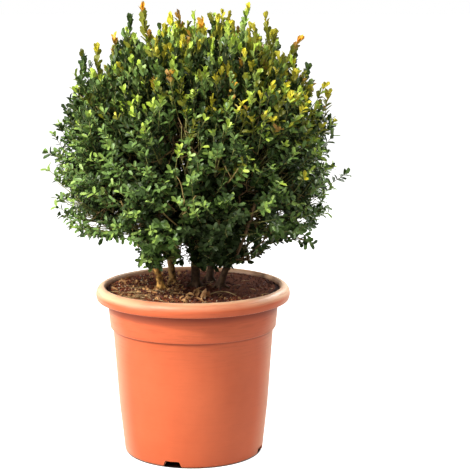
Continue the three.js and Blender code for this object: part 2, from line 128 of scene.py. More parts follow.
CROWN = Named(radius=213, top=212, bottom=118, top_power=2.32, bottom_power=4.2, drawn_in=0.13)
CROWN_CENTRE = Vector((3, 0, 455))
HOLLOW = Named(radius=122, half_height=150, centre_height=400, inset=13)

MASS_RINGS = (
    (90, 0, ("top",)),
    (35, -90, ("upper_front", "upper_right_front", "upper_right_back", "upper_left_back",
               "upper_left_front")),
    (-15, -77, ("lower_front", "lower_right_front", "lower_right_back", "lower_back",
                "lower_left_back", "lower_left", "lower_left_front")),
)

# Low branches: where the bough ends, where the tip is, how many shoots stand along it, how many more
# fill the space round the stems between two corners, and where sprays end it. Only the free one leaves
# the crown's edge.
LOW_BRANCHES = {
    "low_left": Named(
        end=(-76, -52, 310), tip=(-76, -104, 320), along=12, free=False, depth=0, filling=76,
        space=((-82, -112, 286), (-24, -30, 345)), sprays=((-76, -104, 320),),
    ),
    "low_front": Named(
        end=(34, -46, 304), tip=(40, -104, 322), along=8, free=False, depth=2, filling=84,
        space=((-14, -80, 290), (76, -10, 345)), sprays=((40, -104, 322),),
    ),
    "low_right": Named(
        end=(84, -16, 304), tip=(184, -24, 328), along=26, free=True, depth=1, filling=120,
        space=((48, -62, 298), (150, 20, 350)),
        sprays=((184, -24, 330), (187, -36, 328), (175, -36, 328), (180, -30, 339)),
    ),
    "low_right_back": Named(
        end=(62, 84, 318), tip=(100, 136, 318), along=10, free=False, depth=2, filling=46,
        space=((0, 30, 290), (78, 118, 345)), sprays=(),
    ),
    "low_back": Named(
        end=(-54, 86, 320), tip=(-80, 140, 320), along=10, free=False, depth=2, filling=46,
        space=((-80, 20, 290), (0, 118, 345)), sprays=(),
    ),
}

# Layers of leafy shoots: how many, how far they reach, and how long they are.
LAYERS = (
    Named(count=2180, reach=(0.90, 1.04), length=(44, 68), lowest=-56, depth=0),
    Named(count=1550, reach=(0.79, 0.91), length=(42, 60), lowest=-60, depth=1),
    Named(count=950, reach=(0.64, 0.78), length=(38, 54), lowest=-60, depth=2),
    Named(count=420, reach=(0.36, 0.62), length=(34, 48), lowest=-60, depth=2),
)

# Above this elevation some outer shoots stand out and the others are a little shorter.
SHAGGY = Named(above=20, share=0.12, long=(1.01, 1.06), short=(0.94, 0.985))

# The crown's lower edge: it comes down low round the stems and is higher outside.
HEM = Named(radius=(78, 98), height=(286, 337), depth_share=0.4)
LOWEST_LEAF = Named(height=287, unevenness=9, scale=0.11)

# The lower edge of the free branch at the right, as seen: places across and their heights.
FREE_EDGE = ((60, 97, 111, 128, 147, 156, 163, 200), (294, 296, 306, 320, 328, 326, 312, 308))

# Gaps that the sky shows through, as ellipses seen from the camera: middle x and z, half width and
# height.
SKY_GAPS = (
    (-14, 318, 7, 7), (6, 323, 3.5, 5.5), (-11, 304, 7, 5), (-5, 294, 4.5, 8), (-42, 291, 4, 4),
    (-1, 334, 2, 2), (-50, 369, 7, 4), (77, 329, 5, 4), (87, 320, 3.5, 6), (97, 362, 8, 3.5),
    (110, 332, 5, 4), (114, 351, 2, 6),
    (-84, 352, 6, 4), (-103, 340, 4, 4), (135, 372, 3, 5), (18, 437, 1, 1), (-118, 372, 4, 3),
    (-159, 368, 4, 3), (-152, 356, 5, 3.5), (-138, 351, 5, 3), (-129, 348, 3.5, 3), (-191, 387, 4, 3),
    (-176, 389, 3, 3), (-194, 409, 3.5, 3), (-207, 415, 5, 5), (168, 360, 5, 4), (186, 392, 4, 3),
)
GAP_MARGIN = 3.2

# Recesses at the front, as ellipses in the same way, with the depth behind which leaves stay.
RECESSES = (
    (-16, 503, 11, 20, -110), (-92, 458, 9, 8, -110), (6, 476, 9, 14, -110), (109, 458, 8, 20, -95),
    (84, 400, 11, 14, -90), (-16, 449, 12, 12, -115), (-28, 368, 11, 22, -100), (76, 326, 7, 12, -40),
    (84, 348, 7, 14, -40), (92, 374, 7, 14, -60), (-110, 395, 9, 10, -90), (40, 448, 7, 9, -120),
    (140, 430, 9, 12, -80),
)

# Deep shade under the crown, in the same way: its leaves all take the dark colour, as painted shade.
SHADE = ((28, 322, 52, 46), (56, 352, 44, 26), (-4, 300, 22, 30))

# Bare twigs that show in the recesses: places as seen from the camera with their depth, and radii.
SHOWN_TWIGS = (
    ("shown_twigs", ((-4, 338, -90), (-23, 352, -140), (-15, 372, -178), (-13, 394, -196)), 1.05, 0.8),
    ("shown_twigs", ((-13, 394, -196), (-17, 406, -200), (-15, 420, -204), (-25, 430, -206)), 0.8, 0.5),
    ("shown_twigs", ((-16, 370, -178), (-4, 378, -186), (-2, 394, -194), (5, 400, -198)), 0.9, 0.6),
    ("shown_twigs", ((-22, 352, -140), (-32, 360, -152), (-42, 368, -162), (-50, 380, -170)), 1.1, 0.7),
    ("shown_twigs", ((54, 420, -180), (60, 426, -186), (66, 436, -190), (70, 442, -196)), 0.9, 0.5),
    ("shown_twigs", ((60, 426, -186), (55, 434, -190), (51, 441, -194), (49, 446, -196)), 0.7, 0.5),
    ("old_twigs", ((66, 306, -60), (76, 326, -80), (85, 350, -110), (96, 388, -140)), 2.9, 2.3),
    ("old_twigs", ((64, 298, -60), (88, 304, -72), (104, 326, -90), (142, 362, -116)), 1.4, 0.8),
    ("shown_twigs", ((-84, 320, -90), (-92, 348, -110), (-104, 376, -130), (-110, 392, -140)), 1.4, 0.9),
    ("shown_twigs", ((126, 330, -2), (146, 338, -4), (162, 334, -12), (180, 327, -20)), 1.3, 0.8),
)

# Shoots that stand out of the clipped outline, with the kind of leaf at their tips.
STRAY_TIPS = (
    ((-74, -18, 691), "amber"), ((-93, -4, 675), "deep"), ((-63, -30, 652), "bronze"),
    ((-33, -24, 676), "yellow"), ((-21, 6, 679), "bronze"), ((12, -20, 670), "amber"),
    ((26, 2, 676), "olive"), ((60, -26, 664), "gold"), ((87, 12, 691), "yellow"),
    ((110, -10, 677), "gold"), ((127, 8, 650), "gold"), ((164, -24, 642), "amber"),
    ((178, 20, 600), "deep"), ((209, 18, 560), "gold"), ((218, -20, 500), "mid"), ((243, 8, 436), "mid"),
    ((210, -30, 386), "mid"), ((-118, 26, 645), "amber"), ((-144, 10, 629), "gold"),
    ((-166, -14, 622), "olive"), ((-180, 8, 570), "lime"), ((-201, -30, 517), "fresh"),
    ((-226, -12, 472), "mid"), ((-222, -44, 452), "fresh"), ((-216, 10, 425), "mid"),
    ((-206, -50, 408), "mid"), ((-209, -20, 374), "deep"), ((-174, -40, 350), "deep"),
    ((-40, 196, 590), "lime"), ((30, 226, 480), "fresh"),
)


# Helpers

def deselect_all():
    if bpy.context.object and bpy.context.object.mode != "OBJECT":
        bpy.ops.object.mode_set(mode="OBJECT")
    bpy.ops.object.select_all(action="DESELECT")


def make_active(piece):
    deselect_all()
    piece.select_set(True)
    bpy.context.view_layer.objects.active = piece


def edit(piece, action="DESELECT"):
    make_active(piece)
    bpy.ops.object.mode_set(mode="EDIT")
    bpy.ops.mesh.select_mode(type="VERT")
    bpy.ops.mesh.select_all(action=action)


def finish_edit():
    bpy.ops.object.mode_set(mode="OBJECT")


def select_vertices(piece, wanted):
    """Leaves edit mode, selects the vertices that the test wants, and goes back in."""
    edit(piece)
    finish_edit()
    for vertex in piece.data.vertices:
        vertex.select = wanted(vertex.co)
    bpy.ops.object.mode_set(mode="EDIT")


def apply_modifier(piece, kind, **settings):
    make_active(piece)
    modifier = piece.modifiers.new(kind.lower(), kind)
    for key, value in settings.items():
        setattr(modifier, key, value)
    bpy.ops.object.modifier_apply(modifier=modifier.name)


def settle(piece):
    """Puts a piece's place and turn into its mesh."""
    make_active(piece)
    bpy.ops.object.transform_apply(location=True, rotation=True, scale=True)


def join(pieces, name):
    deselect_all()
    for piece in pieces:
        piece.select_set(True)
    bpy.context.view_layer.objects.active = pieces[0]
    bpy.ops.object.join()
    joined = bpy.context.object
    joined.name = name
    joined.data.name = name
    return joined


def shade_smooth(piece, angle=None):
    make_active(piece)
    if angle is None:
        bpy.ops.object.shade_smooth()
    else:
        bpy.ops.object.shade_smooth_by_angle(angle=math.radians(angle))


def hand_over(piece, material, nodes=()):
    """Gives a finished piece its material and tells the frame where it belongs."""
    piece.data.materials.clear()
    piece.data.materials.append(material)
    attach(piece, "root")
    if nodes:
        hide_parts(*nodes)


def mix(low, high, share):
    return low + (high - low) * share


def ramp(value, start, end):
    """How far a value has come from start to end, between 0 and 1."""
    return min(max((value - start) / (end - start), 0), 1)


def mean(points):
    return sum(points, Vector()) / len(points)


def in_metres(lengths):
    return [length * MM for length in lengths]


def way_at(turn, rise=0):
    return Vector((math.cos(turn), math.sin(turn), rise))


# Camera, light and stage

def add_camera():
    tilt = math.radians(90 - CAMERA.pitch)
    turn = -math.radians(CAMERA.yaw)
    place = (0, -CAMERA.distance, CAMERA.height)
    bpy.ops.object.camera_add(location=place, rotation=(tilt, 0, turn))
    camera = bpy.context.object
    camera.data.sensor_width = CAMERA.sensor_mm
    camera.data.lens = CAMERA.focal_pixels / CAMERA.image_pixels * CAMERA.sensor_mm
    camera.data.clip_end = 100
    bpy.context.scene.camera = camera


# Lights: place, aim, size, power and colour
LIGHTS = {
    "sun_light": ((-1.85, -1.7, 2.5), (0, 0, 0.4), 0.4, 88, (1.0, 0.97, 0.88)),
    "window_light": ((-1.85, -1.3, 2.2), (0, 0, 0.35), 1.8, 36, (1.0, 0.98, 0.92)),
    "low_light": ((-2.4, -0.8, 0.68), (0, 0, 0.26), 0.4, 28, (1.0, 0.98, 0.92)),
    "side_light": ((2.1, 0.9, 2.1), (0, 0, 0.3), 1.2, 34, (1.0, 1.0, 0.98)),
    "back_light": ((1.5, 1.9, 1.9), (0, 0, 0.4), 1.0, 50, (1.0, 1.0, 0.98)),
    "front_light": ((0.3, -2.6, 1.9), (0, 0, 0.45), 1.0, 8, (1.0, 0.98, 0.93)),
}

# The white world: how much light it gives, and how much of its full white a glossy surface mirrors.
WORLD = Named(light=0.24, mirrored=0.5)

# The floor is white for the camera, and dark in a small ring where the pot's foot stands on it: painted
# shade.
FLOOR = Named(size=60, height=-0.0004, ring=(0.1052, 0.1078), under_pot=(0.02, 0.012, 0.01),
              open=(0.5, 0.5, 0.5))


def add_light(name, place, target, size, power, colour):
    aim = (Vector(target) - Vector(place)).to_track_quat("-Z", "Y").to_euler()
    bpy.ops.object.light_add(type="AREA", location=place, rotation=aim)
    light = bpy.context.object
    light.name = name
    light.data.shape = "DISK"
    light.data.size = size
    light.data.energy = power
    light.data.color = colour


def add_stage():
    deselect_all()
    for name, look in LIGHTS.items():
        add_light(name, *look)
    world = bpy.data.worlds.new("white_studio")
    bpy.context.scene.world = world
    world.use_nodes = True
    tree = world.node_tree
    surroundings = tree.nodes["Background"]
    feed(surroundings, {"Color": (1, 1, 1), "Strength": WORLD.light})
    backdrop = add_node(tree, "Background", {"Color": (1, 1, 1), "Strength": 1})
    rays = add_node(tree, "LightPath").outputs
    mirrored = calculate(tree, "MULTIPLY", rays["Is Glossy Ray"], WORLD.mirrored)
    seen = calculate(tree, "MAXIMUM", rays["Is Camera Ray"], mirrored)
    blend = add_node(tree, "MixShader", {0: seen, 1: surroundings.outputs[0], 2: backdrop.outputs[0]})
    feed(tree.nodes["World Output"], {"Surface": blend.outputs[0]})
    bpy.ops.mesh.primitive_plane_add(size=FLOOR.size, location=(0, 0, FLOOR.height))
    floor = bpy.context.object
    floor.name = "floor"
    settle(floor)
    material = bpy.data.materials.new("white_floor")
    material.use_nodes = True
    tree = material.node_tree
    # Inside the ring the floor does not glow and takes a dark colour: painted shade under the pot.
    outside = map_range(tree, radius_from_axis(tree), FLOOR.ring)
    seen = add_node(tree, "LightPath").outputs["Is Camera Ray"]
    feed(tree.nodes["Principled BSDF"], {
        "Roughness": 0.9, "Specular IOR Level": 0.1, "Emission Color": (1, 1, 1),
        "Emission Strength": calculate(tree, "MULTIPLY", seen, outside),
        "Base Color": mix_colour(tree, outside, FLOOR.under_pot, FLOOR.open),
    })
    floor.data.materials.append(material)
    bpy.context.scene.view_settings.view_transform = "Standard"


# Materials

def feed(node, inputs):
    """Gives a node's inputs, by name or number, their plain values or the sockets that feed them."""
    for key, value in dict(inputs).items():
        socket = node.inputs[key]
        if isinstance(value, bpy.types.NodeSocket):
            node.id_data.links.new(value, socket)
        elif socket.type == "RGBA":
            socket.default_value = (*value, 1)
        else:
            socket.default_value = value


def add_node(tree, kind, inputs=(), **settings):
    node = tree.nodes.new("ShaderNode" + kind)
    for key, value in settings.items():
        setattr(node, key, value)
    feed(node, inputs)
    return node


def calculate(tree, operation, *values, **settings):
    return add_node(tree, "Math", enumerate(values), operation=operation, **settings).outputs[0]


def map_range(tree, value, span, target=(0, 1), **settings):
    """Carries a value from one span over to another."""
    inputs = {"Value": value, "From Min": span[0], "From Max": span[1], "To Min": target[0],
              "To Max": target[1]}
    return add_node(tree, "MapRange", inputs, **settings).outputs[0]


def mix_colour(tree, factor, first, second):
    """A blend of two colours, each a socket or a plain colour."""
    return add_node(tree, "Mix", {0: factor, 6: first, 7: second}, data_type="RGBA").outputs[2]


def place_in(tree):
    return add_node(tree, "TexCoord").outputs["Object"]


def axes_in(tree):
    return add_node(tree, "SeparateXYZ", {0: place_in(tree)}).outputs


def radius_from_axis(tree, behind=0):
    """The distance of a point from the pot's upright axis, or from a line that many mm behind it."""
    level = enumerate((place_in(tree), (1, 1, 0), (0, -behind * MM, 0)))
    level = add_node(tree, "VectorMath", level, operation="MULTIPLY_ADD").outputs[0]
    return add_node(tree, "VectorMath", {0: level}, operation="LENGTH").outputs["Value"]


def new_group(name, inputs, outputs):
    """An empty group of nodes, its inputs with their kinds and values, and its outputs with theirs."""
    group = bpy.data.node_groups.new(name, "ShaderNodeTree")
    for label, (kind, value) in inputs.items():
        socket = group.interface.new_socket(label, in_out="INPUT", socket_type="NodeSocket" + kind)
        socket.default_value = value
    for label, kind in outputs.items():
        group.interface.new_socket(label, in_out="OUTPUT", socket_type="NodeSocket" + kind)
    return group, group.nodes.new("NodeGroupInput").outputs, group.nodes.new("NodeGroupOutput")


def build_tone_group():
    """Two tones that blend in soft patches, with the patches as a mask."""
    group, given, out = new_group(
        "patchy_tone",
        {"Scale": ("Float", 60), "Contrast": ("Float", 1), "Dark": ("Color", (0, 0, 0, 1)),
         "Light": ("Color", (1, 1, 1, 1))},
        {"Color": "Color", "Mask": "Float"},
    )
    inputs = {"Vector": place_in(group), "Scale": given["Scale"], "Detail": 3, "Roughness": 0.6}
    centred = calculate(group, "SUBTRACT", add_node(group, "TexNoise", inputs).outputs["Fac"], 0.5)
    mask = calculate(group, "MULTIPLY_ADD", centred, given["Contrast"], 0.5, use_clamp=True)
    feed(out, {"Color": mix_colour(group, mask, given["Dark"], given["Light"]), "Mask": mask})
    return group


def build_relief_group():
    """A fine relief whose grain can be drawn out along an axis."""
    group, given, out = new_group(
        "fine_relief", {"Scale": ("Float", 400), "Stretch": ("Vector", EVEN)}, {"Height": "Float"})
    drawn = add_node(group, "VectorMath", {0: place_in(group), 1: given["Stretch"]}, operation="MULTIPLY")
    inputs = {"Vector": drawn.outputs[0], "Scale": given["Scale"], "Detail": 4, "Roughness": 0.65}
    feed(out, {"Height": add_node(group, "TexNoise", inputs).outputs["Fac"]})
    return group


EVEN = (1, 1, 1)
ALONG = (1, 1, 0.4)
GROUPS = {"tone": build_tone_group(), "relief": build_relief_group()}

# Looks of the materials: name, dark tone, light tone, (scale, contrast) of the patches, (scale, stretch,
# strength, depth in millimetres) of the relief, and roughness in the dark and in the light patches.
SURFACES = {
    "pot": ("terracotta_plastic", (0.68, 0.125, 0.040), (0.78, 0.165, 0.058), (14, 1.6),
            (260, EVEN, 0.05, 0.2), (0.42, 0.52)),
    "soil": ("dark_soil", (0.026, 0.008, 0.005), (0.400, 0.110, 0.050), (230, 3.6),
             (700, EVEN, 0.8, 1.2), (0.95, 0.8)),
    "fibre": ("root_fibre", (0.240, 0.140, 0.050), (0.620, 0.430, 0.200), (90, 2.4),
              (800, EVEN, 0.3, 0.2), (0.8, 0.65)),
    "dead_leaf": ("dead_leaf_brown", (0.240, 0.090, 0.030), (0.680, 0.380, 0.160), (120, 2.6),
                  (500, EVEN, 0.6, 0.4), (0.75, 0.55)),
    "dark_crumbs": ("soil_crumb", (0.040, 0.013, 0.009), (0.170, 0.050, 0.030), (110, 3.0),
                    (900, EVEN, 0.6, 0.6), (0.95, 0.8)),
    "bark_chips": ("bark_chip", (0.110, 0.034, 0.013), (0.880, 0.480, 0.190), (150, 4.0),
                   (500, (1, 1, 4), 0.6, 0.5), (0.9, 0.75)),
    "pale_grit": ("grit", (0.480, 0.360, 0.200), (0.850, 0.740, 0.560), (120, 2.0),
                  (900, EVEN, 0.4, 0.3), (0.8, 0.6)),
    "bark": ("ochre_bark", (0.110, 0.038, 0.010), (0.960, 0.540, 0.140), (150, 3.6),
             (420, (1, 1, 0.35), 0.9, 0.9), (0.9, 0.75)),
    "old_twigs": ("inner_twig_bark", (0.060, 0.032, 0.012), (0.190, 0.110, 0.042), (120, 2.0),
                  (600, ALONG, 0.6, 0.4), (0.85, 0.7)),
    "shown_twigs": ("tan_twig_bark", (0.230, 0.150, 0.045), (0.520, 0.390, 0.140), (120, 2.0),
                    (600, ALONG, 0.6, 0.4), (0.85, 0.7)),
    "thin_twigs": ("thin_twig_bark", (0.100, 0.060, 0.020), (0.320, 0.220, 0.080), (120, 2.0),
                   (700, ALONG, 0.5, 0.3), (0.8, 0.65)),
    "young_shoots": ("green_shoot", (0.130, 0.130, 0.032), (0.320, 0.310, 0.080), (120, 2.0),
                     (800, ALONG, 0.3, 0.2), (0.65, 0.5)),
}

# Colours of the leaves' upper sides and undersides
LEAF_COLOURS = {
    # The near-black dark kind serves as painted shade deep in the crown as well as the inner leaves' own
    # darker green.
    "dark": ((0.031, 0.051, 0.016), (0.044, 0.064, 0.024)),
    "deep": ((0.048, 0.092, 0.019), (0.078, 0.126, 0.034)),
    "mid": ((0.154, 0.262, 0.062), (0.215, 0.310, 0.091)),
    "olive": ((0.210, 0.225, 0.018), (0.270, 0.285, 0.036)),
    "fresh": ((0.300, 0.445, 0.090), (0.370, 0.500, 0.122)),
    "lime": ((0.450, 0.600, 0.074), (0.520, 0.650, 0.104)),
    "gold": ((0.530, 0.480, 0.034), (0.590, 0.530, 0.058)),
    "yellow": ((0.880, 0.780, 0.060), (0.900, 0.820, 0.095)),
    "amber": ((0.820, 0.430, 0.034), (0.850, 0.510, 0.070)),
    "bronze": ((0.360, 0.200, 0.036), (0.430, 0.260, 0.055)),
}

# The plastic's looks, with the spans in metres over which they come in: where the soil stains the pot's
# inside, with painted shade there as well; a painted sheen, paler at a grazing view; and painted light
# that makes the rim's sides and crest paler.
STAIN_AND_SHADE = Named(colour=(0.170, 0.060, 0.028), radius=(0.1336, 0.1348), height=(0.2530, 0.2548), above=0.245)
# A paler colour towards grazing views: painted sheen.
PAINTED_SHEEN = Named(colour=(1.0, 0.66, 0.46), facing=(0.44, 1.0), share=0.62)
PAINTED_RIM_LIGHT = Named(
    colour=(1.0, 0.68, 0.42), height=(0.2500, 0.2560), sheltered=(-0.010, 0.120), share=(0.30, 0.90),
    crest=(0.2575, 0.2612), from_x=(-0.062, -0.005), crest_share=(0.30, 0.70), behind=0.6,
)

# Painted shade, where the plastic is darker: just under the rim and in the corner of the step.
PAINTED_SHADE_STRIPS = Named(
    colour=(0.340, 0.050, 0.016),
    strips=(((0.2240, 0.2350), (0.1360, 0.1330), 0.95), ((0.1931, 0.1966), (0.1268, 0.1256), 0.8)),
)

# Faint lines that run round the pot, clearer on its band.
LINES = Named(
    scale=30, stretch=(0.8, 0.8, 12), span=(0.50, 0.66), height=(0.150, 0.200), share=(0.06, 0.34),
    colour=(0.480, 0.080, 0.028), strength=0.7, depth=0.3,
)

# Where the sun falls on the soil, at its left and front, and its colour elsewhere. Along the rim at the
# left and front it is dark and clear of crumbs.
SUNNY = Named(left_of=(-6, -34), in_front_of=(-56, -84), elsewhere=(0.112, 0.032, 0.013))
SOIL_SHADOW = Named(behind=9, radius=(126.0, 129.0), colour=(0.018, 0.004, 0.003))

# Stems that stand in the shade are painted darker, as painted shade: spans in metres, and how dark.
PAINTED_BARK_SHADE = Named(x=((-0.030, -0.012), (0, 0.94)), y=((0.016, 0.034), (0, 0.62)),
                  colour=(0.036, 0.015, 0.007))


def surface_material(name, dark, light, tone, relief, roughness):
    """Patchy colour, roughness that follows the patches, and a fine relief, as in SURFACES."""
    material = bpy.data.materials.new(name)
    material.use_nodes = True
    tree = material.node_tree
    inputs = {"Scale": tone[0], "Contrast": tone[1], "Dark": dark, "Light": light}
    patches = add_node(tree, "Group", inputs, node_tree=GROUPS["tone"]).outputs
    scale, stretch, strength, depth = relief
    grain = add_node(tree, "Group", {"Scale": scale, "Stretch": stretch}, node_tree=GROUPS["relief"])
    inputs = {"Strength": strength, "Distance": depth * MM, "Height": grain.outputs["Height"]}
    feed(tree.nodes["Principled BSDF"], {
        "Base Color": patches["Color"],
        "Roughness": map_range(tree, patches["Mask"], (0, 1), roughness),
        "Normal": add_node(tree, "Bump", inputs).outputs[0],
    })
    return material


def opened(material):
    """A material's tree, its shader, and the colour that it has so far."""
    tree = material.node_tree
    shader = tree.nodes["Principled BSDF"]
    return tree, shader, shader.inputs["Base Color"].links[0].from_socket


def add_underside(material, gloss, underside):
    tree, shader, upper = opened(material)
    back = add_node(tree, "NewGeometry").outputs["Backfacing"]
    feed(shader, {"Specular IOR Level": gloss, "Base Color": mix_colour(tree, back, upper, underside)})


def add_soil_look(material):
    """Reddish and mixed where the sun falls on it, dark and even at the right and back."""
    tree, shader, mixed = opened(material)
    x, y, _ = axes_in(tree)
    sunny = calculate(tree, "MAXIMUM", map_range(tree, x, in_metres(SUNNY.left_of)),
                      map_range(tree, y, in_metres(SUNNY.in_front_of)))
    surface = mix_colour(tree, sunny, SUNNY.elsewhere, mixed)
    at_rim = map_range(tree, radius_from_axis(tree, SOIL_SHADOW.behind), in_metres(SOIL_SHADOW.radius))
    surface = mix_colour(tree, at_rim, surface, SOIL_SHADOW.colour)
    feed(shader, {"Specular IOR Level": 0.1, "Base Color": surface})


def add_bark_shade(material):
    tree, shader, bark = opened(material)
    x, y, _ = axes_in(tree)
    # Stems at the right and behind are made darker: painted shade.
    shaded = calculate(tree, "MAXIMUM", map_range(tree, x, *PAINTED_BARK_SHADE.x), map_range(tree, y, *PAINTED_BARK_SHADE.y))
    feed(shader, {"Base Color": mix_colour(tree, shaded, bark, PAINTED_BARK_SHADE.colour)})


def add_plastic_look(material):
    """The pot's satin plastic: paler rim (painted light) and edges (painted sheen), painted shade in
    corners, stains with painted shade, and faint turning lines.
    """
    tree, shader, colour = opened(material)
    x, y, z = axes_in(tree)
    radius = radius_from_axis(tree)
    # The rim's sides, back and crest are made paler: painted light.
    aside = calculate(tree, "MULTIPLY_ADD", y, PAINTED_RIM_LIGHT.behind, calculate(tree, "ABSOLUTE", x))
    sides = calculate(tree, "MULTIPLY", map_range(tree, z, PAINTED_RIM_LIGHT.height),
                      map_range(tree, aside, PAINTED_RIM_LIGHT.sheltered, PAINTED_RIM_LIGHT.share))
    crest = calculate(tree, "MULTIPLY", map_range(tree, z, PAINTED_RIM_LIGHT.crest),
                      map_range(tree, x, PAINTED_RIM_LIGHT.from_x, PAINTED_RIM_LIGHT.crest_share))
    colour = mix_colour(tree, calculate(tree, "MAXIMUM", sides, crest), colour, PAINTED_RIM_LIGHT.colour)
    # Paler at a grazing view: painted sheen.
    facing = add_node(tree, "LayerWeight", {"Blend": 0.5}).outputs["Facing"]
    grazing = map_range(tree, facing, PAINTED_SHEEN.facing, (0, PAINTED_SHEEN.share), interpolation_type="SMOOTHSTEP")
    colour = mix_colour(tree, grazing, colour, PAINTED_SHEEN.colour)
    # Darker just under the rim and in the step's corner: painted shade.
    for height, near, share in PAINTED_SHADE_STRIPS.strips:
        shade_strip = calculate(tree, "MULTIPLY", map_range(tree, z, height, (0, share)),
                            map_range(tree, radius, near))
        colour = mix_colour(tree, shade_strip, colour, PAINTED_SHADE_STRIPS.colour)
    # A soil stain along the soil line inside the rim, with painted shade there as well.
    stain_and_shade = calculate(tree, "MULTIPLY", map_range(tree, radius, STAIN_AND_SHADE.radius, (1, 0)),
                        map_range(tree, z, STAIN_AND_SHADE.height, (1, 0)))
    stain_and_shade = calculate(tree, "MULTIPLY", stain_and_shade, calculate(tree, "GREATER_THAN", z, STAIN_AND_SHADE.above))
    colour = mix_colour(tree, stain_and_shade, colour, STAIN_AND_SHADE.colour)
    inputs = {"Scale": LINES.scale, "Stretch": LINES.stretch}
    lines = add_node(tree, "Group", inputs, node_tree=GROUPS["relief"]).outputs["Height"]
    drawn = calculate(tree, "MULTIPLY", map_range(tree, lines, LINES.span),
                      map_range(tree, z, LINES.height, LINES.share))
    inputs = {"Strength": LINES.strength, "Distance": LINES.depth * MM, "Height": lines,
              "Normal": shader.inputs["Normal"].links[0].from_socket}
    feed(shader, {"Base Color": mix_colour(tree, drawn, colour, LINES.colour),
                  "Normal": add_node(tree, "Bump", inputs).outputs[0]})


def build_materials():
    made = {key: surface_material(*look) for key, look in SURFACES.items()}
    add_plastic_look(made["pot"])
    add_soil_look(made["soil"])
    add_bark_shade(made["bark"])
    for kind, (colour, underside) in LEAF_COLOURS.items():
        dark, light = (tuple(share * c for c in colour) for share in (0.8, 1.2))
        made[kind] = surface_material(kind + "_leaf", dark, light, (95, 2.2), (900, EVEN, 0.12, 0.15),
                                      (0.45, 0.35))
        add_underside(made[kind], 0.12 if kind == "dark" else 0.36, underside)
    return made


MATERIALS = build_materials()


# Pot

def outer_wall_radius(height):
    waist = POT.waist_height
    if height < waist:
        return mix(POT.foot_radius, POT.waist_radius, height / waist)
    share = (height - waist) / (POT.step_height - waist)
    return mix(POT.waist_radius, POT.step_radius - POT.ledge, share)


def quarter(centre, half_width, half_height, start, end, steps):
    """Points on a quarter of an ellipse, in degrees from the outward side."""
    angles = [math.radians(mix(start, end, i / steps)) for i in range(steps + 1)]
    return [(centre[0] + half_width * math.cos(a), centre[1] + half_height * math.sin(a)) for a in angles]


def inside_profile(gap):
    """The inside of the pot from its floor's centre up to the band's top."""
    inner = POT.thickness + gap
    floor = POT.floor_thickness + gap
    floor_edge = POT.channel_height + floor
    return [
        (POT.pad_radius - inner, floor),
        (POT.pad_radius + POT.channel_slope - inner, floor_edge),
        (outer_wall_radius(floor_edge) - inner, floor_edge),
        (POT.waist_radius - inner, POT.waist_height),
        (outer_wall_radius(POT.step_height) - inner, POT.step_height),
        (POT.step_radius - inner, POT.step_height + POT.ledge),
        (POT.throat_radius - inner, POT.band_top),
    ]


def pot_profile():
    """The pot's section, from the middle of its underside round the rim to the floor inside."""
    inner_foot = POT.foot_radius - POT.foot_rounding - POT.foot_ring_width
    skirt_inner = POT.rim_lip_radius - POT.thickness
    lip_middle = POT.rim_lip_radius - POT.thickness / 2
    crest = POT.rim_crest_radius
    foot = [
        (POT.pad_radius, 0),
        (POT.pad_radius + POT.channel_slope, POT.channel_height),
        (inner_foot - POT.foot_rounding / 2, POT.channel_height),
        (inner_foot, 0),
        (POT.foot_radius - POT.foot_rounding, 0),
        (outer_wall_radius(POT.foot_rounding), POT.foot_rounding),
    ]
    wall = [
        (outer_wall_radius(h), h)
        for h in (38, POT.waist_height, 115, 155, POT.step_height - 0.8)
    ]
    band = [
        (POT.step_radius - 0.5, POT.step_height),
        (POT.step_radius, POT.step_height + 1),
        (mix(POT.step_radius, POT.throat_radius, 0.5), mix(POT.step_height, POT.band_top, 0.5)),
        (POT.throat_radius, POT.band_top),
        (POT.throat_radius, POT.rim_widest - 1.5),
        (POT.rim_inner_radius + 3, POT.rim_top - 7.5),
        (crest, POT.rim_top - 3),
        (skirt_inner, POT.rim_widest + 3),
        (skirt_inner, POT.rim_lower_edge + 1.5),
    ]
    lip = quarter((lip_middle, POT.rim_lower_edge + 1.5), 1.5, 1.5, 180, 340, 6)[1:]
    roll_height = POT.rim_top - POT.rim_widest
    roll = quarter((crest, POT.rim_widest), POT.rim_radius - crest, roll_height, -8, 90, 12)
    dip = quarter((crest, POT.rim_top - 9), crest - POT.rim_inner_radius, 9, 98, 172, 8)
    mouth = [(POT.mouth_radius + 2, POT.mouth_height), (POT.mouth_radius, POT.mouth_height - 4.5)]
    return foot + wall + band + lip + roll + dip + mouth + inside_profile(0)[::-1]


def turned_piece(name, profile, segments):
    """A turned shape: a circle extruded from ring to ring of its profile, closed at both ends."""
    deselect_all()
    radius, height = profile[0]
    bpy.ops.mesh.primitive_circle_add(vertices=segments, radius=radius * MM, location=(0, 0, height * MM))
    piece = bpy.context.object
    piece.name = name
    settle(piece)
    edit(piece, "SELECT")
    bpy.ops.mesh.edge_face_add()
    bpy.ops.mesh.select_mode(type="EDGE")
    for new_radius, new_height in profile[1:]:
        rise = (0, 0, (new_height - height) * MM)
        bpy.ops.mesh.extrude_edges_move(TRANSFORM_OT_translate={"value": rise})
        stretch = new_radius / radius
        bpy.ops.transform.resize(value=(stretch, stretch, 1), center_override=(0, 0, new_height * MM))
        radius, height = new_radius, new_height
    bpy.ops.mesh.edge_face_add()
    bpy.ops.mesh.select_all(action="SELECT")
    bpy.ops.mesh.normals_make_consistent(inside=False)
    finish_edit()
    return piece


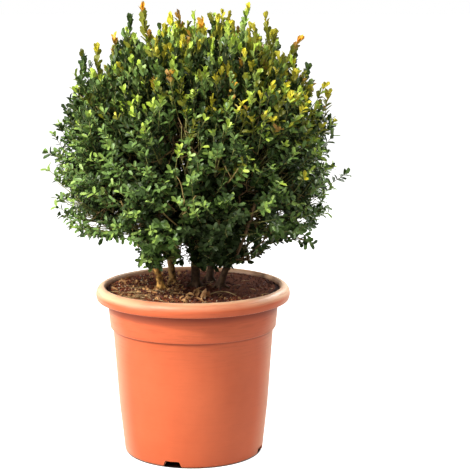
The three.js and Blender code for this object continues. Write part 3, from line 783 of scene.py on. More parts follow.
def notch_cutter(angle):
    """A trapezoid block that runs out through the foot ring."""
    middle = POT.foot_radius - POT.foot_ring_width / 2
    deselect_all()
    bpy.ops.mesh.primitive_cube_add(size=1)
    cutter = bpy.context.object
    cutter.scale = (NOTCH.depth * MM, NOTCH.width * MM, 2 * NOTCH.height * MM)
    settle(cutter)
    select_vertices(cutter, lambda co: co.z > 0)
    bpy.ops.transform.resize(value=(1, NOTCH.top_width / NOTCH.width, 1), center_override=(0, 0, 0))
    finish_edit()
    cutter.rotation_euler = (0, 0, angle)
    cutter.location = (middle * MM * math.cos(angle), middle * MM * math.sin(angle), 0)
    settle(cutter)
    return cutter


def build_pot():
    pot = turned_piece("plastic_pot", pot_profile(), POT.segments)
    apply_modifier(pot, "BEVEL", width=0.6 * MM, segments=2, limit_method="ANGLE",
                   angle_limit=math.radians(34))
    for i in range(NOTCH.count):
        cutter = notch_cutter(math.radians(NOTCH.first_angle + i * 360 / NOTCH.count))
        apply_modifier(pot, "BOOLEAN", operation="DIFFERENCE", object=cutter, solver="EXACT")
        bpy.data.objects.remove(cutter)
    shade_smooth(pot, 28)
    hand_over(pot, MATERIALS["pot"], ["pot"])


# Soil

def soil_height(radius):
    """The mound's height at a distance from the pot's axis."""
    points = ((0, SOIL.mound_height), (SOIL.mound_radius, SOIL.mound_height),
              (SOIL.shoulder_radius, SOIL.shoulder_height), (SOIL.radius, SOIL.edge_height))
    return float(np.interp(radius, [p[0] for p in points], [p[1] for p in points]))


def roughen(piece, name, size, height, **settings):
    """Displaces a piece's surface by a cloudy texture; its size and its height are in millimetres."""
    texture = bpy.data.textures.new(name, "CLOUDS")
    texture.noise_scale = size * MM
    texture.noise_depth = 2
    apply_modifier(piece, "DISPLACE", texture=texture, strength=height * MM, mid_level=0.5,
                   texture_coords="LOCAL", **settings)


def build_soil():
    surface = [(r, soil_height(r)) for r in np.linspace(SOIL.radius, 2.4, SOIL.rings)]
    profile = inside_profile(SOIL.gap) + [SOIL.under_edge, SOIL.edge] + surface
    soil = turned_piece("potting_soil", profile, SOIL.segments)
    floor = (SOIL.edge_height - 1) * MM
    surface = [v.index for v in soil.data.vertices if v.co.z > floor]
    soil.vertex_groups.new(name="surface").add(surface, 1.0, "REPLACE")
    for name, size, height in SOIL.relief:
        roughen(soil, name, size, height, direction="Z", vertex_group="surface")
    soil.vertex_groups.clear()
    shade_smooth(soil)
    hand_over(soil, MATERIALS["soil"], ["soil"])


def add_mesh(name, vertices, faces, smooth=True):
    mesh = bpy.data.meshes.new(name)
    mesh.from_pydata(vertices.reshape(-1, 3), [], faces.reshape(-1, 3))
    piece = bpy.data.objects.new(name, mesh)
    bpy.context.collection.objects.link(piece)
    if smooth:
        mesh.polygons.foreach_set("use_smooth", np.ones(len(mesh.polygons), dtype=bool))
    return piece


def small_ball():
    """The vertices and triangles of a ball with few sides, for copies of it."""
    bpy.ops.mesh.primitive_ico_sphere_add(subdivisions=1, radius=1)
    piece = bpy.context.object
    edit(piece, "SELECT")
    bpy.ops.mesh.quads_convert_to_tris()
    finish_edit()
    vertices = np.array([v.co for v in piece.data.vertices])
    faces = np.array([list(p.vertices) for p in piece.data.polygons])
    bpy.data.objects.remove(piece)
    return vertices, faces


def random_turns(count, rng):
    """Evenly spread random rotation matrices."""
    q = rng.normal(size=(count, 4))
    q /= np.linalg.norm(q, axis=1)[:, None]
    w, x, y, z = q.T
    rows = [
        [1 - 2 * (y * y + z * z), 2 * (x * y - z * w), 2 * (x * z + y * w)],
        [2 * (x * y + z * w), 1 - 2 * (x * x + z * z), 2 * (y * z - x * w)],
        [2 * (x * z - y * w), 2 * (y * z + x * w), 1 - 2 * (x * x + y * y)],
    ]
    return np.stack([np.stack(row, axis=-1) for row in rows], axis=1)


def repeated(faces, count, step):
    """The faces of a shape for each of its copies, whose vertices follow one another in steps."""
    return faces[None] + (np.arange(count) * step)[:, None, None]


def copies(shape, places, turns, sizes):
    """Copies of a shape as one set of vertices and triangles."""
    vertices, faces = shape
    scaled = vertices[None] * sizes[:, None, :]
    placed = np.einsum("nij,nkj->nki", turns, scaled) + places[:, None, :]
    return placed, repeated(faces, len(places), len(vertices))


def soil_places(count, rng, reach, lift):
    """Places on the soil's surface, evenly spread, clear of the pot's wall."""
    radius = reach * np.sqrt(rng.random(count))
    around = rng.random(count) * 2 * np.pi
    height = np.array([soil_height(r) for r in radius]) + lift
    return np.stack([radius * np.cos(around), radius * np.sin(around), height], axis=1) * MM


# Kinds of crumb on the soil: count, smallest and largest size, flatness, length and lift. The light
# kinds lie in the sun.
CRUMBS = {
    "dark_crumbs": (1700, 1.4, 5.2, 0.75, 1.15, 0.5),
    "bark_chips": (380, 1.4, 7.6, 0.32, 2.0, 1.2),
    "pale_grit": (250, 0.9, 2.6, 0.7, 1.3, 1.8),
}
CRUMBS_REACH = 129


def in_sun(value, span):
    """How far a place lies in the sun, across a span that runs towards the negative side."""
    return np.interp(-value / MM, [-edge for edge in span], (0, 1))


def build_crumbs():
    rng = np.random.default_rng(SEED)
    shape = small_ball()
    for name, (count, smallest, largest, flat, length, lift) in CRUMBS.items():
        size = mix(smallest, largest, rng.random(count) ** 2)[:, None] * MM
        shares = np.array([length, 1, flat]) * mix(0.75, 1.25, rng.random((count, 3)))
        places = soil_places(count, rng, CRUMBS_REACH, lift)
        behind, clear = SOIL_SHADOW.behind * MM, SOIL_SHADOW.radius[0] * MM
        kept = np.flatnonzero(np.hypot(places[:, 0], places[:, 1] - behind) < clear)
        if name != "dark_crumbs":
            x, y, _ = places[kept].T
            sunny = np.maximum(in_sun(x, SUNNY.left_of), in_sun(y, SUNNY.in_front_of))
            kept = kept[rng.random(len(kept)) < sunny]
        size, turns = size[kept], random_turns(len(kept), rng)
        vertices, faces = copies(shape, places[kept], turns, size * shares[kept] / 2)
        vertices = vertices + rng.normal(size=vertices.shape) * size[:, None] * 0.05
        hand_over(add_mesh(name, vertices, faces, smooth=False), MATERIALS[name])


# What lies on the soil: root fibres and dead leaves, some near a middle and the rest spread out, one
# long root and a pebble.
FIBRES = Named(count=130, middle=(-72, -38), spread=(30, 34), radius=(0.22, 0.5))
DEAD_LEAVES = Named(middle=(4, -84), spread=(9, 20), clustered=9, scattered=22)
LONG_ROOT = ((16, -80, 257), (34, -34, 260), (56, -34, 261), (72, -94, 256.5))
PEBBLE = Named(place=(59, -109, 256), size=(4.5, 3.4, 2.4))
LITTER_REACH = 122
LITTER_LIFT = 1.6


def litter_place(middle, spread, rng):
    """A place on the soil near a middle, kept inside the pot's wall."""
    x, y = rng.gauss(middle[0], spread[0]), rng.gauss(middle[1], spread[1])
    radius = math.hypot(x, y)
    if radius > LITTER_REACH:
        x, y, radius = x * LITTER_REACH / radius, y * LITTER_REACH / radius, LITTER_REACH
    return Vector((x, y, soil_height(radius) + LITTER_LIFT))


def fibre_path(rng, place):
    """A curved thread that lies on the soil with its middle raised a little."""
    along = way_at(rng.uniform(0, 2 * math.pi))
    aside = Vector((-along.y, along.x, 0)) * rng.uniform(-0.35, 0.35)
    length = rng.uniform(7, 22)
    path = []
    for t in (-0.5, -0.17, 0.17, 0.5):
        bow = 0.25 - t * t
        path.append(place + along * length * t + (aside + UP * rng.uniform(0.02, 0.22)) * length * bow)
    return path


def dead_leaf(rng, clustered):
    middle, spread = (DEAD_LEAVES.middle, DEAD_LEAVES.spread) if clustered else ((-20, -10), (70, 60))
    place = litter_place(middle, spread, rng)
    turn = rng.uniform(0, 2 * math.pi)
    heading = way_at(turn, rng.uniform(0.1, 1.3) if clustered else rng.uniform(-0.1, 0.3)).normalized()
    normal = UP + jitter(rng, 0.4)
    length = rng.uniform(14, 19) if clustered else rng.uniform(9, 14)
    return leaf_row(place, heading, normal, length, length * rng.uniform(0.35, 0.5), rng.uniform(0.5, 1.1),
                    rng.uniform(0.1, 0.5), 0)


def build_litter():
    rng = random.Random(SEED + 2)
    threads = []
    for i in range(FIBRES.count):
        middle, spread = (FIBRES.middle, FIBRES.spread) if i % 3 else ((0, 0), (75, 75))
        place = litter_place(middle, spread, rng)
        radius = rng.uniform(*FIBRES.radius)
        threads.append((fibre_path(rng, place), [radius * 0.7, radius, radius, radius * 0.5]))
    hand_over(twig_mesh("root_fibres", threads, 4), MATERIALS["fibre"])
    fallen = [dead_leaf(rng, clustered) for clustered in
              [True] * DEAD_LEAVES.clustered + [False] * DEAD_LEAVES.scattered]
    hand_over(leaf_mesh("dead_leaves", fallen), MATERIALS["dead_leaf"])
    root = limb([Vector(place) for place in LONG_ROOT], 1.0, 0.6, 24)
    root.name = "long_root"
    shade_smooth(root)
    hand_over(root, MATERIALS["fibre"])
    deselect_all()
    bpy.ops.mesh.primitive_ico_sphere_add(subdivisions=3, radius=1, location=in_metres(PEBBLE.place))
    pebble = bpy.context.object
    pebble.name = "pebble"
    pebble.scale = in_metres(PEBBLE.size)
    settle(pebble)
    roughen(pebble, "pebble_dents", 5, 1.2)
    shade_smooth(pebble)
    hand_over(pebble, MATERIALS["pale_grit"])


# Limbs

def direction_at(azimuth, elevation):
    around, above = math.radians(azimuth), math.radians(elevation)
    return Vector((math.cos(above) * math.cos(around), math.cos(above) * math.sin(around), math.sin(above)))


def inside_hollow(direction):
    """The point just inside the crown's hollow, in a direction from the crown's centre."""
    stretch = Vector((HOLLOW.radius, HOLLOW.radius, HOLLOW.half_height))
    offset = CROWN_CENTRE - Vector((0, 0, HOLLOW.centre_height))
    offset = Vector(o / s for o, s in zip(offset, stretch))
    heading = Vector(d / s for d, s in zip(direction, stretch))
    a, b = heading.length_squared, offset.dot(heading)
    distance = (-b + math.sqrt(b * b - a * (offset.length_squared - 1))) / a
    return CROWN_CENTRE + direction * (distance - HOLLOW.inset)


def plan_masses():
    masses = {}
    for elevation, first, names in MASS_RINGS:
        for i, name in enumerate(names):
            direction = direction_at(first + i * 360 / len(names), elevation)
            masses[name] = Named(low=False, direction=direction, growth=direction,
                                 bough_end=inside_hollow(direction))
    for name, branch in LOW_BRANCHES.items():
        end, tip = Vector(branch.end), Vector(branch.tip)
        masses[name] = Named(low=True, growth=(tip - end).normalized(), bough_end=end, tip=tip)
    return masses


MASSES = plan_masses()


def perpendicular(direction):
    helper = UP if abs(direction.z) < 0.9 else Vector((1, 0, 0))
    return direction.cross(helper).normalized()


def fork_places(fork, tangent, ends):
    """Places round the end of a fork, matched to the sides that its boughs leave to."""
    u = perpendicular(tangent)
    v = tangent.cross(u)
    middle = mean(ends)
    wanted = [math.atan2((end - middle).dot(v), (end - middle).dot(u)) for end in ends]
    order = sorted(range(len(ends)), key=lambda i: wanted[i])
    step = 2 * math.pi / len(ends)
    turns = [wanted[index] - place * step for place, index in enumerate(order)]
    turn = math.atan2(sum(math.sin(t) for t in turns), sum(math.cos(t) for t in turns))
    aside = BOUGH.aside / math.sin(math.pi / len(ends))
    places = [None] * len(ends)
    for place, index in enumerate(order):
        angle = turn + place * step
        places[index] = fork + (u * math.cos(angle) + v * math.sin(angle)) * aside
    return places


def limb(controls, start_radius, end_radius, steps):
    """A round tapering limb along a Bezier curve, given by its four control points."""
    deselect_all()
    bpy.ops.curve.primitive_bezier_curve_add(location=(0, 0, 0))
    piece = bpy.context.object
    curve = piece.data
    first, last = curve.splines[0].bezier_points
    for point in (first, last):
        point.handle_left_type = point.handle_right_type = "FREE"
    points = [Vector(c) * MM for c in controls]
    first.co, first.handle_right, last.handle_left, last.co = points
    first.handle_left = 2 * points[0] - points[1]
    last.handle_right = 2 * points[3] - points[2]
    first.radius, last.radius = start_radius, end_radius
    curve.dimensions = "3D"
    curve.resolution_u = steps
    curve.bevel_depth = MM
    curve.bevel_resolution = 3
    curve.use_fill_caps = True
    bpy.ops.object.convert(target="MESH")
    return bpy.context.object


def root_flare(stem, rng):
    """Short roots that spread from a stem's foot into the soil."""
    roots = []
    foot = Vector((*stem.foot, SOIL.mound_height))
    start = rng.uniform(0, 2 * math.pi)
    for i in range(ROOTS.count):
        out = way_at(start + (i + rng.uniform(-0.25, 0.25)) * 2 * math.pi / ROOTS.count)
        reach = stem.foot_radius * rng.uniform(*ROOTS.reach)
        height = rng.uniform(*ROOTS.height)
        controls = [foot + UP * height + out * 1.5, foot + UP * height * 0.4 + out * stem.radius * 0.8,
                    foot + UP * 1.5 + out * reach * 0.75, foot - UP * 2.5 + out * reach]
        roots.append(limb(controls, stem.radius * 0.55, ROOTS.end_radius, 8))
    return roots


def build_limbs():
    rng = random.Random(SEED)
    limbs = []
    for stem in STEMS.values():
        start = Vector((*stem.foot, SOIL.mound_height - 3))
        fork = Vector(stem.fork)
        rise = (fork.z - start.z) / 3
        lean = (fork - start).normalized()
        controls = [start, start + UP * rise, fork - lean * rise, fork + lean * 1.5]
        limbs.append(limb(controls, stem.radius * STEM_FOOT, stem.radius * STEM_TAPER, 24))
        limbs.extend(root_flare(stem, rng))
        carried = [MASSES[name] for name in stem.carries]
        places = fork_places(fork, lean, [mass.bough_end for mass in carried])
        for mass, place in zip(carried, places):
            span = (mass.bough_end - place).length
            root = fork - lean * BOUGH.overlap + (place - fork) * 0.45
            controls = [root, place + lean * span * BOUGH.start_reach,
                        mass.bough_end - mass.growth * span * BOUGH.end_reach, mass.bough_end]
            limbs.append(limb(controls, BOUGH.radius, BOUGH.tip_radius, 40))
            if rng.random() < STUBS.share:
                limbs.append(pruned_stub(controls, rng))
    wood = join(limbs, "stems_and_boughs")
    make_active(wood)
    wood.data.remesh_voxel_size = BARK.voxel * MM
    bpy.ops.object.voxel_remesh()
    apply_modifier(wood, "SMOOTH", factor=0.5, iterations=2)
    for name, size, height in BARK.relief:
        roughen(wood, name, size, height, direction="NORMAL")
    shade_smooth(wood)
    nodes = ["stem_" + name for name in STEMS] + ["bough_" + name for name in MASSES]
    hand_over(wood, MATERIALS["bark"], nodes)


def bezier_point(controls, t):
    a, b, c, d = controls
    s = 1 - t
    return a * (s * s * s) + b * (3 * s * s * t) + c * (3 * s * t * t) + d * (t * t * t)


def bezier_path(controls, steps):
    return [bezier_point(controls, i / steps) for i in range(steps + 1)]


def pruned_stub(controls, rng):
    """A short cut-off side twig on a bough."""
    t = rng.uniform(*STUBS.along)
    point = bezier_point(controls, t)
    along = (bezier_point(controls, t + 0.02) - point).normalized()
    side = perpendicular(along)
    side.rotate(Matrix.Rotation(rng.uniform(0, 2 * math.pi), 3, along))
    end = point + (along * 0.8 + side) * rng.uniform(*STUBS.length)
    third = (end - point) / 3
    return limb([point, point + third, end - third, end], *STUBS.radii, 4)


# Twigs and leaves, collected first and meshed together at the end; twigs with how many sides they have

TWIG_SIDES = {"old_twigs": 5, "shown_twigs": 7, "thin_twigs": 3, "young_shoots": 3}
twigs = {name: [] for name in TWIG_SIDES}
leaves = {}
EYE_DISTANCE = CAMERA.distance / MM
EYE_HEIGHT = CAMERA.height / MM


def crown_reach(direction):
    level = math.hypot(direction.x, direction.y) / CROWN.radius
    above = direction.z > 0
    rise = abs(direction.z) / (CROWN.top if above else CROWN.bottom)
    power = CROWN.top_power if above else CROWN.bottom_power
    return (level ** power + rise ** power) ** (-1 / power)


def unevenness(direction, scale, offset):
    return noise.noise(direction * scale + Vector((offset, -offset, 0.5 * offset)))


def jitter(rng, amount):
    return Vector((rng.gauss(0, amount), rng.gauss(0, amount), rng.gauss(0, amount)))


def make_spur(tip, heading, length, depth):
    """A leafy shoot to be, which ends at its tip."""
    base = tip - heading * length
    return Named(base=base, heading=heading, length=length, tip=tip, depth=depth, tip_kind=None)


def crown_spur(tip, direction, length, depth, rng):
    """A shoot of the crown's outside, which points outwards and upwards."""
    outward = mix(0.9, 0.4, height_share(tip.z))
    heading = Vector((direction.x * outward, direction.y * outward, direction.z + 0.58))
    heading = (heading.normalized() + jitter(rng, 0.17)).normalized()
    return make_spur(tip, heading, length, depth)


def as_seen(point, depth):
    """A place drawn along its line of sight into the plane of the pot's axis."""
    share = EYE_DISTANCE / (EYE_DISTANCE + depth)
    return point.x * share, EYE_HEIGHT + (point.z - EYE_HEIGHT) * share


def above_hem(point):
    """Whether a place is above the crown's lower edge, as seen from the camera or from behind."""
    _, height = as_seen(point, -abs(point.y))
    radius = math.hypot(point.x, point.y * HEM.depth_share)
    return height > np.interp(radius, HEM.radius, HEM.height)


def lowest_at(x):
    """How far down leaves hang at a place seen from the camera."""
    if x > FREE_EDGE[0][0]:
        return np.interp(x, *FREE_EDGE)
    wave = noise.noise(Vector((x * LOWEST_LEAF.scale, 0, 0.3)))
    return LOWEST_LEAF.height + LOWEST_LEAF.unevenness * wave


def above_lowest(point):
    """Whether a place on the free branch stays well above its slanting lower edge."""
    x, z = as_seen(point, point.y)
    return z > lowest_at(x) + 4


def on_low_branch(spur, free):
    """Whether a shoot low on the crown stays above the edge that its branch has."""
    if above_hem(spur.tip):
        return above_lowest(spur.base)
    return free and above_lowest(spur.tip) and above_lowest(spur.base)


def within(x, z, ellipse, margin=0):
    """Whether a place seen at x and z lies in an ellipse, given by its middle and its half sizes."""
    middle_x, middle_z, width, height = ellipse
    return ((x - middle_x) / (width + margin)) ** 2 + ((z - middle_z) / (height + margin)) ** 2 < 1


def left_open(point):
    """Whether a leaf's place lies in a gap or in a recess of the crown's front."""
    x, z = as_seen(point, point.y)
    return (z < lowest_at(x) or any(within(x, z, gap, GAP_MARGIN) for gap in SKY_GAPS)
            or any(point.y < back and within(x, z, recess) for *recess, back in RECESSES))


# Leaves in the deep shade under the crown take the dark colour: painted shade.
def in_shade(point):
    x, z = as_seen(point, point.y)
    return any(within(x, z, ellipse) for ellipse in SHADE)


def on_sight(x, z, depth):
    """The place at a depth that is seen at x and z; it undoes as_seen."""
    share = (EYE_DISTANCE + depth) / EYE_DISTANCE
    return Vector((x * share, depth, EYE_HEIGHT + (z - EYE_HEIGHT) * share))


def nearest_mass(direction):
    crown = [name for name, mass in MASSES.items() if not mass.low]
    return max(crown, key=lambda name: MASSES[name].direction.dot(direction))


# Shoots stand in even spirals, which each layer turns further and chance scatters, in degrees. The
# two outer layers have thin patches.
GOLDEN_ANGLE = 180 * (3 - math.sqrt(5))
LAYER_TURN = 77
SCATTER = 3.5
THIN_PATCHES = Named(noise=(4.6, 10), below=-0.36)


def plan_spurs(rng):
    spurs = {name: [] for name in MASSES}
    for number, layer in enumerate(LAYERS):
        for i in range(layer.count):
            height = 1 - 2 * (i + 0.5) / layer.count
            elevation = math.degrees(math.asin(height)) + rng.uniform(-SCATTER, SCATTER)
            azimuth = i * GOLDEN_ANGLE + number * LAYER_TURN + rng.uniform(-SCATTER, SCATTER)
            reach = rng.uniform(*layer.reach)
            length = rng.uniform(*layer.length)
            if elevation < layer.lowest:
                continue
            direction = direction_at(azimuth, elevation)
            if layer.depth < 2 and unevenness(direction, *THIN_PATCHES.noise) < THIN_PATCHES.below:
                continue
            reach *= 1 + 0.05 * unevenness(direction, 2.2, 3) + 0.03 * unevenness(direction, 6, 5)
            if layer.depth == 0 and elevation > SHAGGY.above:
                reach *= rng.uniform(*(SHAGGY.long if rng.random() < SHAGGY.share else SHAGGY.short))
            lift = 5 if elevation < 60 else 0
            aim = direction_at(azimuth, elevation + lift)
            reach *= 1 - CROWN.drawn_in * max(-aim.x, 0) * max(aim.z, 0)
            tip = CROWN_CENTRE + aim * crown_reach(aim) * reach
            spur = crown_spur(tip, aim, length, layer.depth, rng)
            if above_hem(spur.tip) and above_hem(spur.base):
                spurs[nearest_mass(direction)].append(spur)
    for place, kind in STRAY_TIPS:
        tip = Vector(place)
        direction = (tip - CROWN_CENTRE).normalized()
        spur = crown_spur(tip, direction, mix(50, 72, height_share(tip.z)), 0, rng)
        spur.tip_kind = kind
        spurs[nearest_mass(direction)].append(spur)
    for name, mass in MASSES.items():
        if mass.low:
            spurs[name] = low_spurs(mass, LOW_BRANCHES[name], rng)
    return spurs


# Lengths of the shoots on low branches: along them, in the space round the stems, and in the sprays.
LOW_SHOOTS = Named(along=(32, 46), filling=(30, 44), spray=46, side_spray=24)


def low_spurs(mass, branch, rng):
    """Shoots along a low branch, one at its tip, and those that fill the space round the stems."""
    growth, start, tip = mass.growth, mass.bough_end, mass.tip
    span = (tip - start).length
    side = perpendicular(growth)
    spurs = []
    for i in range(branch.along):
        share = (i + 0.5) / branch.along
        rise = rng.uniform(0.1, 0.9) if branch.free else rng.uniform(-0.45, 0.55)
        lateral = side * (1 if i % 2 else -1) * rng.uniform(0.4, 1.0) + UP * rise
        heading = (growth * rng.uniform(0.5, 1.0) + lateral).normalized()
        place = start + growth * span * share * 0.6 + heading * 40
        spurs.append(make_spur(place, heading, rng.uniform(*LOW_SHOOTS.along), 1))
    for i in range(branch.filling):
        place = Vector(rng.uniform(low, high) for low, high in zip(*branch.space))
        out = Vector((place.x, place.y, 0)).normalized()
        heading = (out * 0.8 + jitter(rng, 0.45) + UP * rng.uniform(-0.2, 0.5)).normalized()
        spurs.append(make_spur(place, heading, rng.uniform(*LOW_SHOOTS.filling), branch.depth))
    spurs = [spur for spur in spurs if on_low_branch(spur, branch.free)]
    heading = (growth + Vector((-0.1, -0.4, -0.5) if branch.free else (0, -0.9, 0.15))).normalized()
    for i, place in enumerate(branch.sprays):
        length = LOW_SHOOTS.side_spray if i else LOW_SHOOTS.spray
        spurs.append(make_spur(Vector(place), heading, length, 0))
    return spurs


def twig_radius(count):
    return min(BOUGH.tip_radius, 0.72 * count ** 0.28)


def curve_path(start, heading, end, arrival, steps):
    reach = (end - start).length / 3
    return bezier_path((start, start + heading * reach, end - arrival * reach, end), steps)


def add_twig(kind, path, start_radius, end_radius):
    last = len(path) - 1
    radii = [mix(start_radius, end_radius, i / last) for i in range(last + 1)]
    twigs[kind].append((path, radii))


def split_spurs(spurs, rng):
    """Halves a group of shoots across its longest direction."""
    bases = np.array([spur.base for spur in spurs])
    centred = bases - bases.mean(axis=0)
    _, axes = np.linalg.eigh(centred.T @ centred)
    order = np.argsort(centred @ axes[:, -1], kind="stable")
    middle = len(spurs) // 2
    if len(spurs) > 5:
        middle += rng.randint(-len(spurs) // 6, len(spurs) // 6)
    return [spurs[i] for i in order[:middle]], [spurs[i] for i in order[middle:]]


def grow(start, heading, spurs, rng):
    """A twig runs on to a fork, and each of its arms to its own share of the shoots."""
    count = len(spurs)
    if count == 1:
        path = curve_path(start, heading, spurs[0].base, spurs[0].heading, 2)
        add_twig("thin_twigs", path, twig_radius(1) * 1.15, twig_radius(1))
        return
    toward = mean([spur.base for spur in spurs]) - start
    fork = start + toward * rng.uniform(0.36, 0.56) + jitter(rng, toward.length * 0.04)
    arrival = (fork - start).normalized()
    kind, steps = ("old_twigs", 4) if count > 6 else ("thin_twigs", 2)
    radius = twig_radius(count)
    add_twig(kind, curve_path(start, heading, fork, arrival, steps), radius, radius * 0.9)
    for half in split_spurs(spurs, rng):
        onward = (mean([spur.base for spur in half]) - fork).normalized()
        grow(fork, (arrival + onward).normalized(), half, rng)


# Colours are dealt out by spray: kinds of leaf and their shares, by depth and by height in the crown.
# The dark kind that inner and older leaves take is partly their own darker green and partly painted shade.
INNER_KINDS = (("dark", 0.8), ("deep", 0.2))
SHADED_TIPS = (("deep", 0.55), ("mid", 0.30), ("dark", 0.15))
OLDER_LOW = (("deep", 0.40), ("mid", 0.38), ("dark", 0.22))
OLDER_HIGH = (("olive", 0.30), ("mid", 0.06), ("deep", 0.28), ("dark", 0.36))
PLAIN_TIPS = (("mid", 0.52), ("fresh", 0.30), ("deep", 0.18))
BRIGHT_LOW = (("fresh", 0.97), ("lime", 0.03))
BRIGHT_MIDDLE = (("lime", 0.70), ("fresh", 0.24), ("gold", 0.06))
BRIGHT_HIGH = (("gold", 0.31), ("lime", 0.34), ("yellow", 0.13), ("olive", 0.15), ("bronze", 0.05),
               ("amber", 0.02))
TINTED_FROM, TINTED_TO = 470, 640
SHADED_BELOW = 362

# The right side is tinted further down than the left. Fewer tips are bright high on the left and low
# on the right: the share, and the spans of x and z over which it rises.
TINT_LEAN = 0.26
DULLER = ((0.50, (-30, -130), (460, 530)), (0.42, (60, 130), (540, 490)))

# The kind of the pair of leaves just under a bright tip.
TURNING = {
    "gold": "olive", "yellow": "lime", "amber": "bronze", "bronze": "olive", "lime": "fresh",
    "fresh": "mid",
}


def deal(kinds, rng):
    draw = rng.random()
    for kind, share in kinds:
        draw -= share
        if draw < 0:
            return kind
    return kinds[0][0]


def height_share(height):
    return ramp(height, TINTED_FROM, TINTED_TO)


def spray_kinds(spur, rng):
    """The kinds of a spray's older leaves and of those at its tip."""
    high = height_share(spur.tip.z + TINT_LEAN * spur.tip.x)
    if spur.depth == 2:
        return "dark", deal(INNER_KINDS, rng)
    if spur.depth == 1:
        return deal(INNER_KINDS, rng), deal(SHADED_TIPS, rng)
    older = deal(OLDER_HIGH if rng.random() < high else OLDER_LOW, rng)
    if spur.tip_kind:
        under = TURNING.get(spur.tip_kind, "deep")
        return TURNING.get(under, under), spur.tip_kind
    x, z = spur.tip.x, spur.tip.z
    if rng.random() < sum(share * ramp(x, *aside) * ramp(z, *height) for share, aside, height in DULLER):
        return older, deal(SHADED_TIPS, rng)
    bright = 0.05 if z < SHADED_BELOW else min(0.40 + high, 0.54 + 0.28 * high)
    if rng.random() > bright:
        return older, deal(PLAIN_TIPS, rng)
    return older, deal(BRIGHT_HIGH if high > 0.5 else BRIGHT_MIDDLE if high > 0.05 else BRIGHT_LOW, rng)


def leaf_row(place, heading, normal, *measures):
    """What one leaf is made from: its place, its three directions and its measures."""
    across = heading.cross(normal).normalized()
    return (*place, *across, *heading, *across.cross(heading), *measures)


# Leaves turn a little to the side that the light comes from.
LIGHTWARD = Vector((-0.38, -0.34, 0.86))

# A leaf's length low and high on the crown, with what chance and a place inside or at a stray tip add
# to it, its width as a share of its length, and the share of leaves that are missing.
LEAF = Named(length=(11.6, 12.6), longer=3.4, large=3, slim=(0.48, 0.52), wide=0.58, missing=0.05)
PAIR_SPACING = Named(inner=(7.2, 8.8), outer=(5.2, 6.7), closer=0.2)

# How far a pair of leaves opens from its twig, in degrees: at the shoot's foot and at its tip.
CLOSED_SHOOT = (38, 8)
OPEN_SHOOT = (68, 50)
OPENING_SPREAD = 11
BARE_FOOT = 0.16
CROWDING = 1.3

# A shoot that would keep less than this share of its leaves isn't grown.
LEAFY_SHARE = 0.36


def grow_shoot(spur, rng):
    """A young twig that bends upwards, with crossing pairs of leaves that close up at its tip."""
    base, heading, length = spur.base, spur.heading, spur.length
    high = height_share(spur.tip.z)
    bend = UP * rng.uniform(0.02, 0.16) + jitter(rng, 0.05)
    inner = spur.depth == 2
    large = LEAF.large if inner or spur.tip_kind else 0
    leaf_length = mix(*LEAF.length, high) + rng.uniform(0, LEAF.longer) + large
    slimness = LEAF.wide if inner or spur.tip.z < SHADED_BELOW else mix(*LEAF.slim, high)

    def place_at(t):
        return base + heading * (length * t) + bend * (length * (t * t - t))

    def tangent_at(t):
        return (heading + bend * (2 * t - 1)).normalized()

    reach = length - leaf_length * 0.55
    older, fresh = spray_kinds(spur, rng)
    grown, planned = [], 0
    closer = 0 if inner else PAIR_SPACING.closer * high
    spacing = rng.uniform(*(PAIR_SPACING.inner if inner else PAIR_SPACING.outer)) - closer
    pairs = max(3, int(reach * (1 - BARE_FOOT) / spacing))
    fresh_from = pairs - rng.choice((2, 2, 3) if high > 0.5 else (1, 1, 2))
    turning = TURNING.get(fresh, older)
    turn = rng.uniform(0, math.pi)
    for pair in range(pairs):
        share = 1 - (1 - min((pair + 0.5) / (pairs - 0.5), 1)) ** CROWDING
        t = mix(BARE_FOOT, 1, share) * reach / length
        point, along = place_at(t), tangent_at(t)
        side = perpendicular(along)
        side.rotate(Matrix.Rotation(turn + pair * math.pi / 2 + rng.uniform(-0.2, 0.2), 3, along))
        level = 1 - abs(along.z)
        kind = fresh if pair >= fresh_from else turning if pair == fresh_from - 1 else older
        opening = mix(mix(OPEN_SHOOT[0], CLOSED_SHOOT[0], high), mix(OPEN_SHOOT[1], CLOSED_SHOOT[1], high),
                      share ** 1.2)
        size = leaf_length * mix(1.0, 0.82, share) if pair < pairs - 1 else leaf_length * 0.8
        for sign in (1, -1):
            if rng.random() < LEAF.missing:
                continue
            out = side * sign
            out = (out - UP * out.z * 0.55 * level).normalized()
            angle = math.radians(opening + rng.uniform(-OPENING_SPREAD, OPENING_SPREAD))
            way = (along * math.cos(angle) + out * math.sin(angle)).normalized()
            normal = along * mix(1.0, 0.5, level) + LIGHTWARD * mix(0.2, 0.8, level) + jitter(rng, 0.38)
            span = size * rng.uniform(0.86, 1.1)
            row = leaf_row(point, way, normal, span, span * slimness * rng.uniform(0.88, 1.12),
                           rng.uniform(0.15, 0.6), rng.uniform(-0.12, 0.2) + 0.1 * share,
                           mix(rng.uniform(0, 0.6), rng.uniform(0.5, 1), high))
            planned += 1
            if not left_open(point + way * span / 2):
                # Leaves in deep shade take the dark kind: painted shade.
                grown.append(("dark" if in_shade(point) else kind, row))
    if len(grown) < planned * LEAFY_SHARE:
        return False
    for kind, row in grown:
        leaves.setdefault(kind, []).append(row)
    add_twig("young_shoots", [place_at(t * reach / length) for t in (0, 0.5, 1)], twig_radius(1), 0.45)
    return True


# A leaf in its own outline: stations along it with half widths, as shares of its length and width,
# and how much a spoon-shaped leaf gains or loses there.
LEAF_STATIONS = ((0.30, 0.92, -0.34), (0.78, 0.84, 0.18))
LEAVES_A_PIECE = 20000


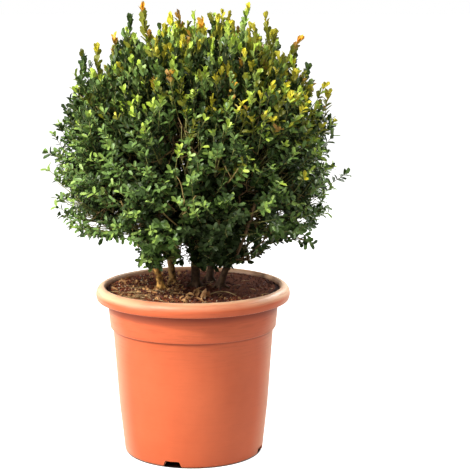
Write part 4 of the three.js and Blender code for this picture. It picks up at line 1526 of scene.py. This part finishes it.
def leaf_shape():
    """Plain vertices, what a fold, a curl and a spoon shape add to them, and the triangles."""
    plain, spoon = [(0, 0, 0)], [0]
    for t, half, gain in LEAF_STATIONS:
        plain += [(-half / 2, t, 0), (0, t, 0), (half / 2, t, 0)]
        spoon += [-gain / 2, 0, gain / 2]
    plain = np.array(plain + [(0, 1, 0)], dtype=float)
    fold = np.abs(plain[:, 0])
    curl = -(plain[:, 1] ** 2)
    faces = [(0, 2, 1), (0, 3, 2)]
    for station in range(len(LEAF_STATIONS) - 1):
        a = 1 + 3 * station
        for k in (0, 1):
            faces += [(a + k, a + k + 1, a + k + 4), (a + k, a + k + 4, a + k + 3)]
    tip = len(plain) - 1
    faces += [(tip - 3, tip - 2, tip), (tip - 2, tip - 1, tip)]
    return plain, fold, curl, np.array(spoon + [0]), np.array(faces)


def leaf_mesh(name, rows):
    data = np.array(rows)
    plain, fold, curl, spoon, faces = leaf_shape()
    count = len(data)
    length, width, folding, curling, spooning = data[:, 12:17].T[:, :, None]
    local = np.repeat(plain[None], count, axis=0)
    local[:, :, 0] = (plain[None, :, 0] + spoon[None] * spooning) * width
    local[:, :, 1] *= length
    local[:, :, 2] = fold[None] * folding * width + curl[None] * curling * length
    basis = data[:, 3:12].reshape(count, 3, 3)
    placed = np.einsum("nki,nij->nkj", local, basis) + data[:, None, 0:3]
    return add_mesh(name, placed * MM, repeated(faces, count, len(plain)))


def twig_mesh(name, rows, sides):
    """Tapering tubes with closed ends, all with the same number of rings."""
    paths = np.array([[tuple(p) for p in path] for path, _ in rows])
    radii = np.array([r for _, r in rows])
    count, rings, _ = paths.shape
    tangents = np.gradient(paths, axis=1)
    tangents /= np.linalg.norm(tangents, axis=2)[:, :, None] + 1e-12
    helper = np.where(np.abs(tangents[:, 0, 2:3]) < 0.9, [[0.0, 0, 1]], [[1.0, 0, 0]])
    side = np.cross(tangents[:, 0], helper)
    angles = np.arange(sides) * 2 * np.pi / sides
    vertices = np.zeros((count, rings * sides, 3))
    for k in range(rings):
        along = tangents[:, k]
        side = side - along * np.sum(side * along, axis=1)[:, None]
        side /= np.linalg.norm(side, axis=1)[:, None]
        other = np.cross(along, side)
        ring = side[:, None] * np.cos(angles)[:, None] + other[:, None] * np.sin(angles)[:, None]
        vertices[:, k * sides:(k + 1) * sides] = paths[:, k, None] + ring * radii[:, k, None, None]
    faces = []
    for s in range(sides):
        t = (s + 1) % sides
        for k in range(rings - 1):
            a, b = k * sides + s, k * sides + t
            faces += [(a, b, b + sides), (a, b + sides, a + sides)]
    end = (rings - 1) * sides
    for s in range(1, sides - 1):
        faces += [(0, s + 1, s), (end, end + s, end + s + 1)]
    return add_mesh(name, vertices * MM, repeated(np.array(faces), count, rings * sides))


def build_foliage():
    rng = random.Random(SEED)
    for name, spurs in plan_spurs(rng).items():
        leafy = [spur for spur in spurs if grow_shoot(spur, rng)]
        grow(MASSES[name].bough_end, MASSES[name].growth, leafy, rng)
    for kind, places, start_radius, end_radius in SHOWN_TWIGS:
        add_twig(kind, bezier_path([on_sight(*place) for place in places], 6), start_radius, end_radius)
    nodes = ["foliage_" + name for name in MASSES]
    for name, sides in TWIG_SIDES.items():
        by_rings = {}
        for row in twigs[name]:
            by_rings.setdefault(len(row[0]), []).append(row)
        parts = [twig_mesh(name, rows, sides) for rows in by_rings.values()]
        piece = join(parts, name) if len(parts) > 1 else parts[0]
        hand_over(piece, MATERIALS[name], nodes)
    for kind, rows in leaves.items():
        for part in range(0, len(rows), LEAVES_A_PIECE):
            name = f"{kind}_leaves_{part // LEAVES_A_PIECE + 1}"
            piece = leaf_mesh(name, rows[part:part + LEAVES_A_PIECE])
            hand_over(piece, MATERIALS[kind], nodes)


add_camera()
add_stage()
build_pot()
build_soil()
build_crumbs()
build_limbs()
build_litter()
build_foliage()

deselect_all()
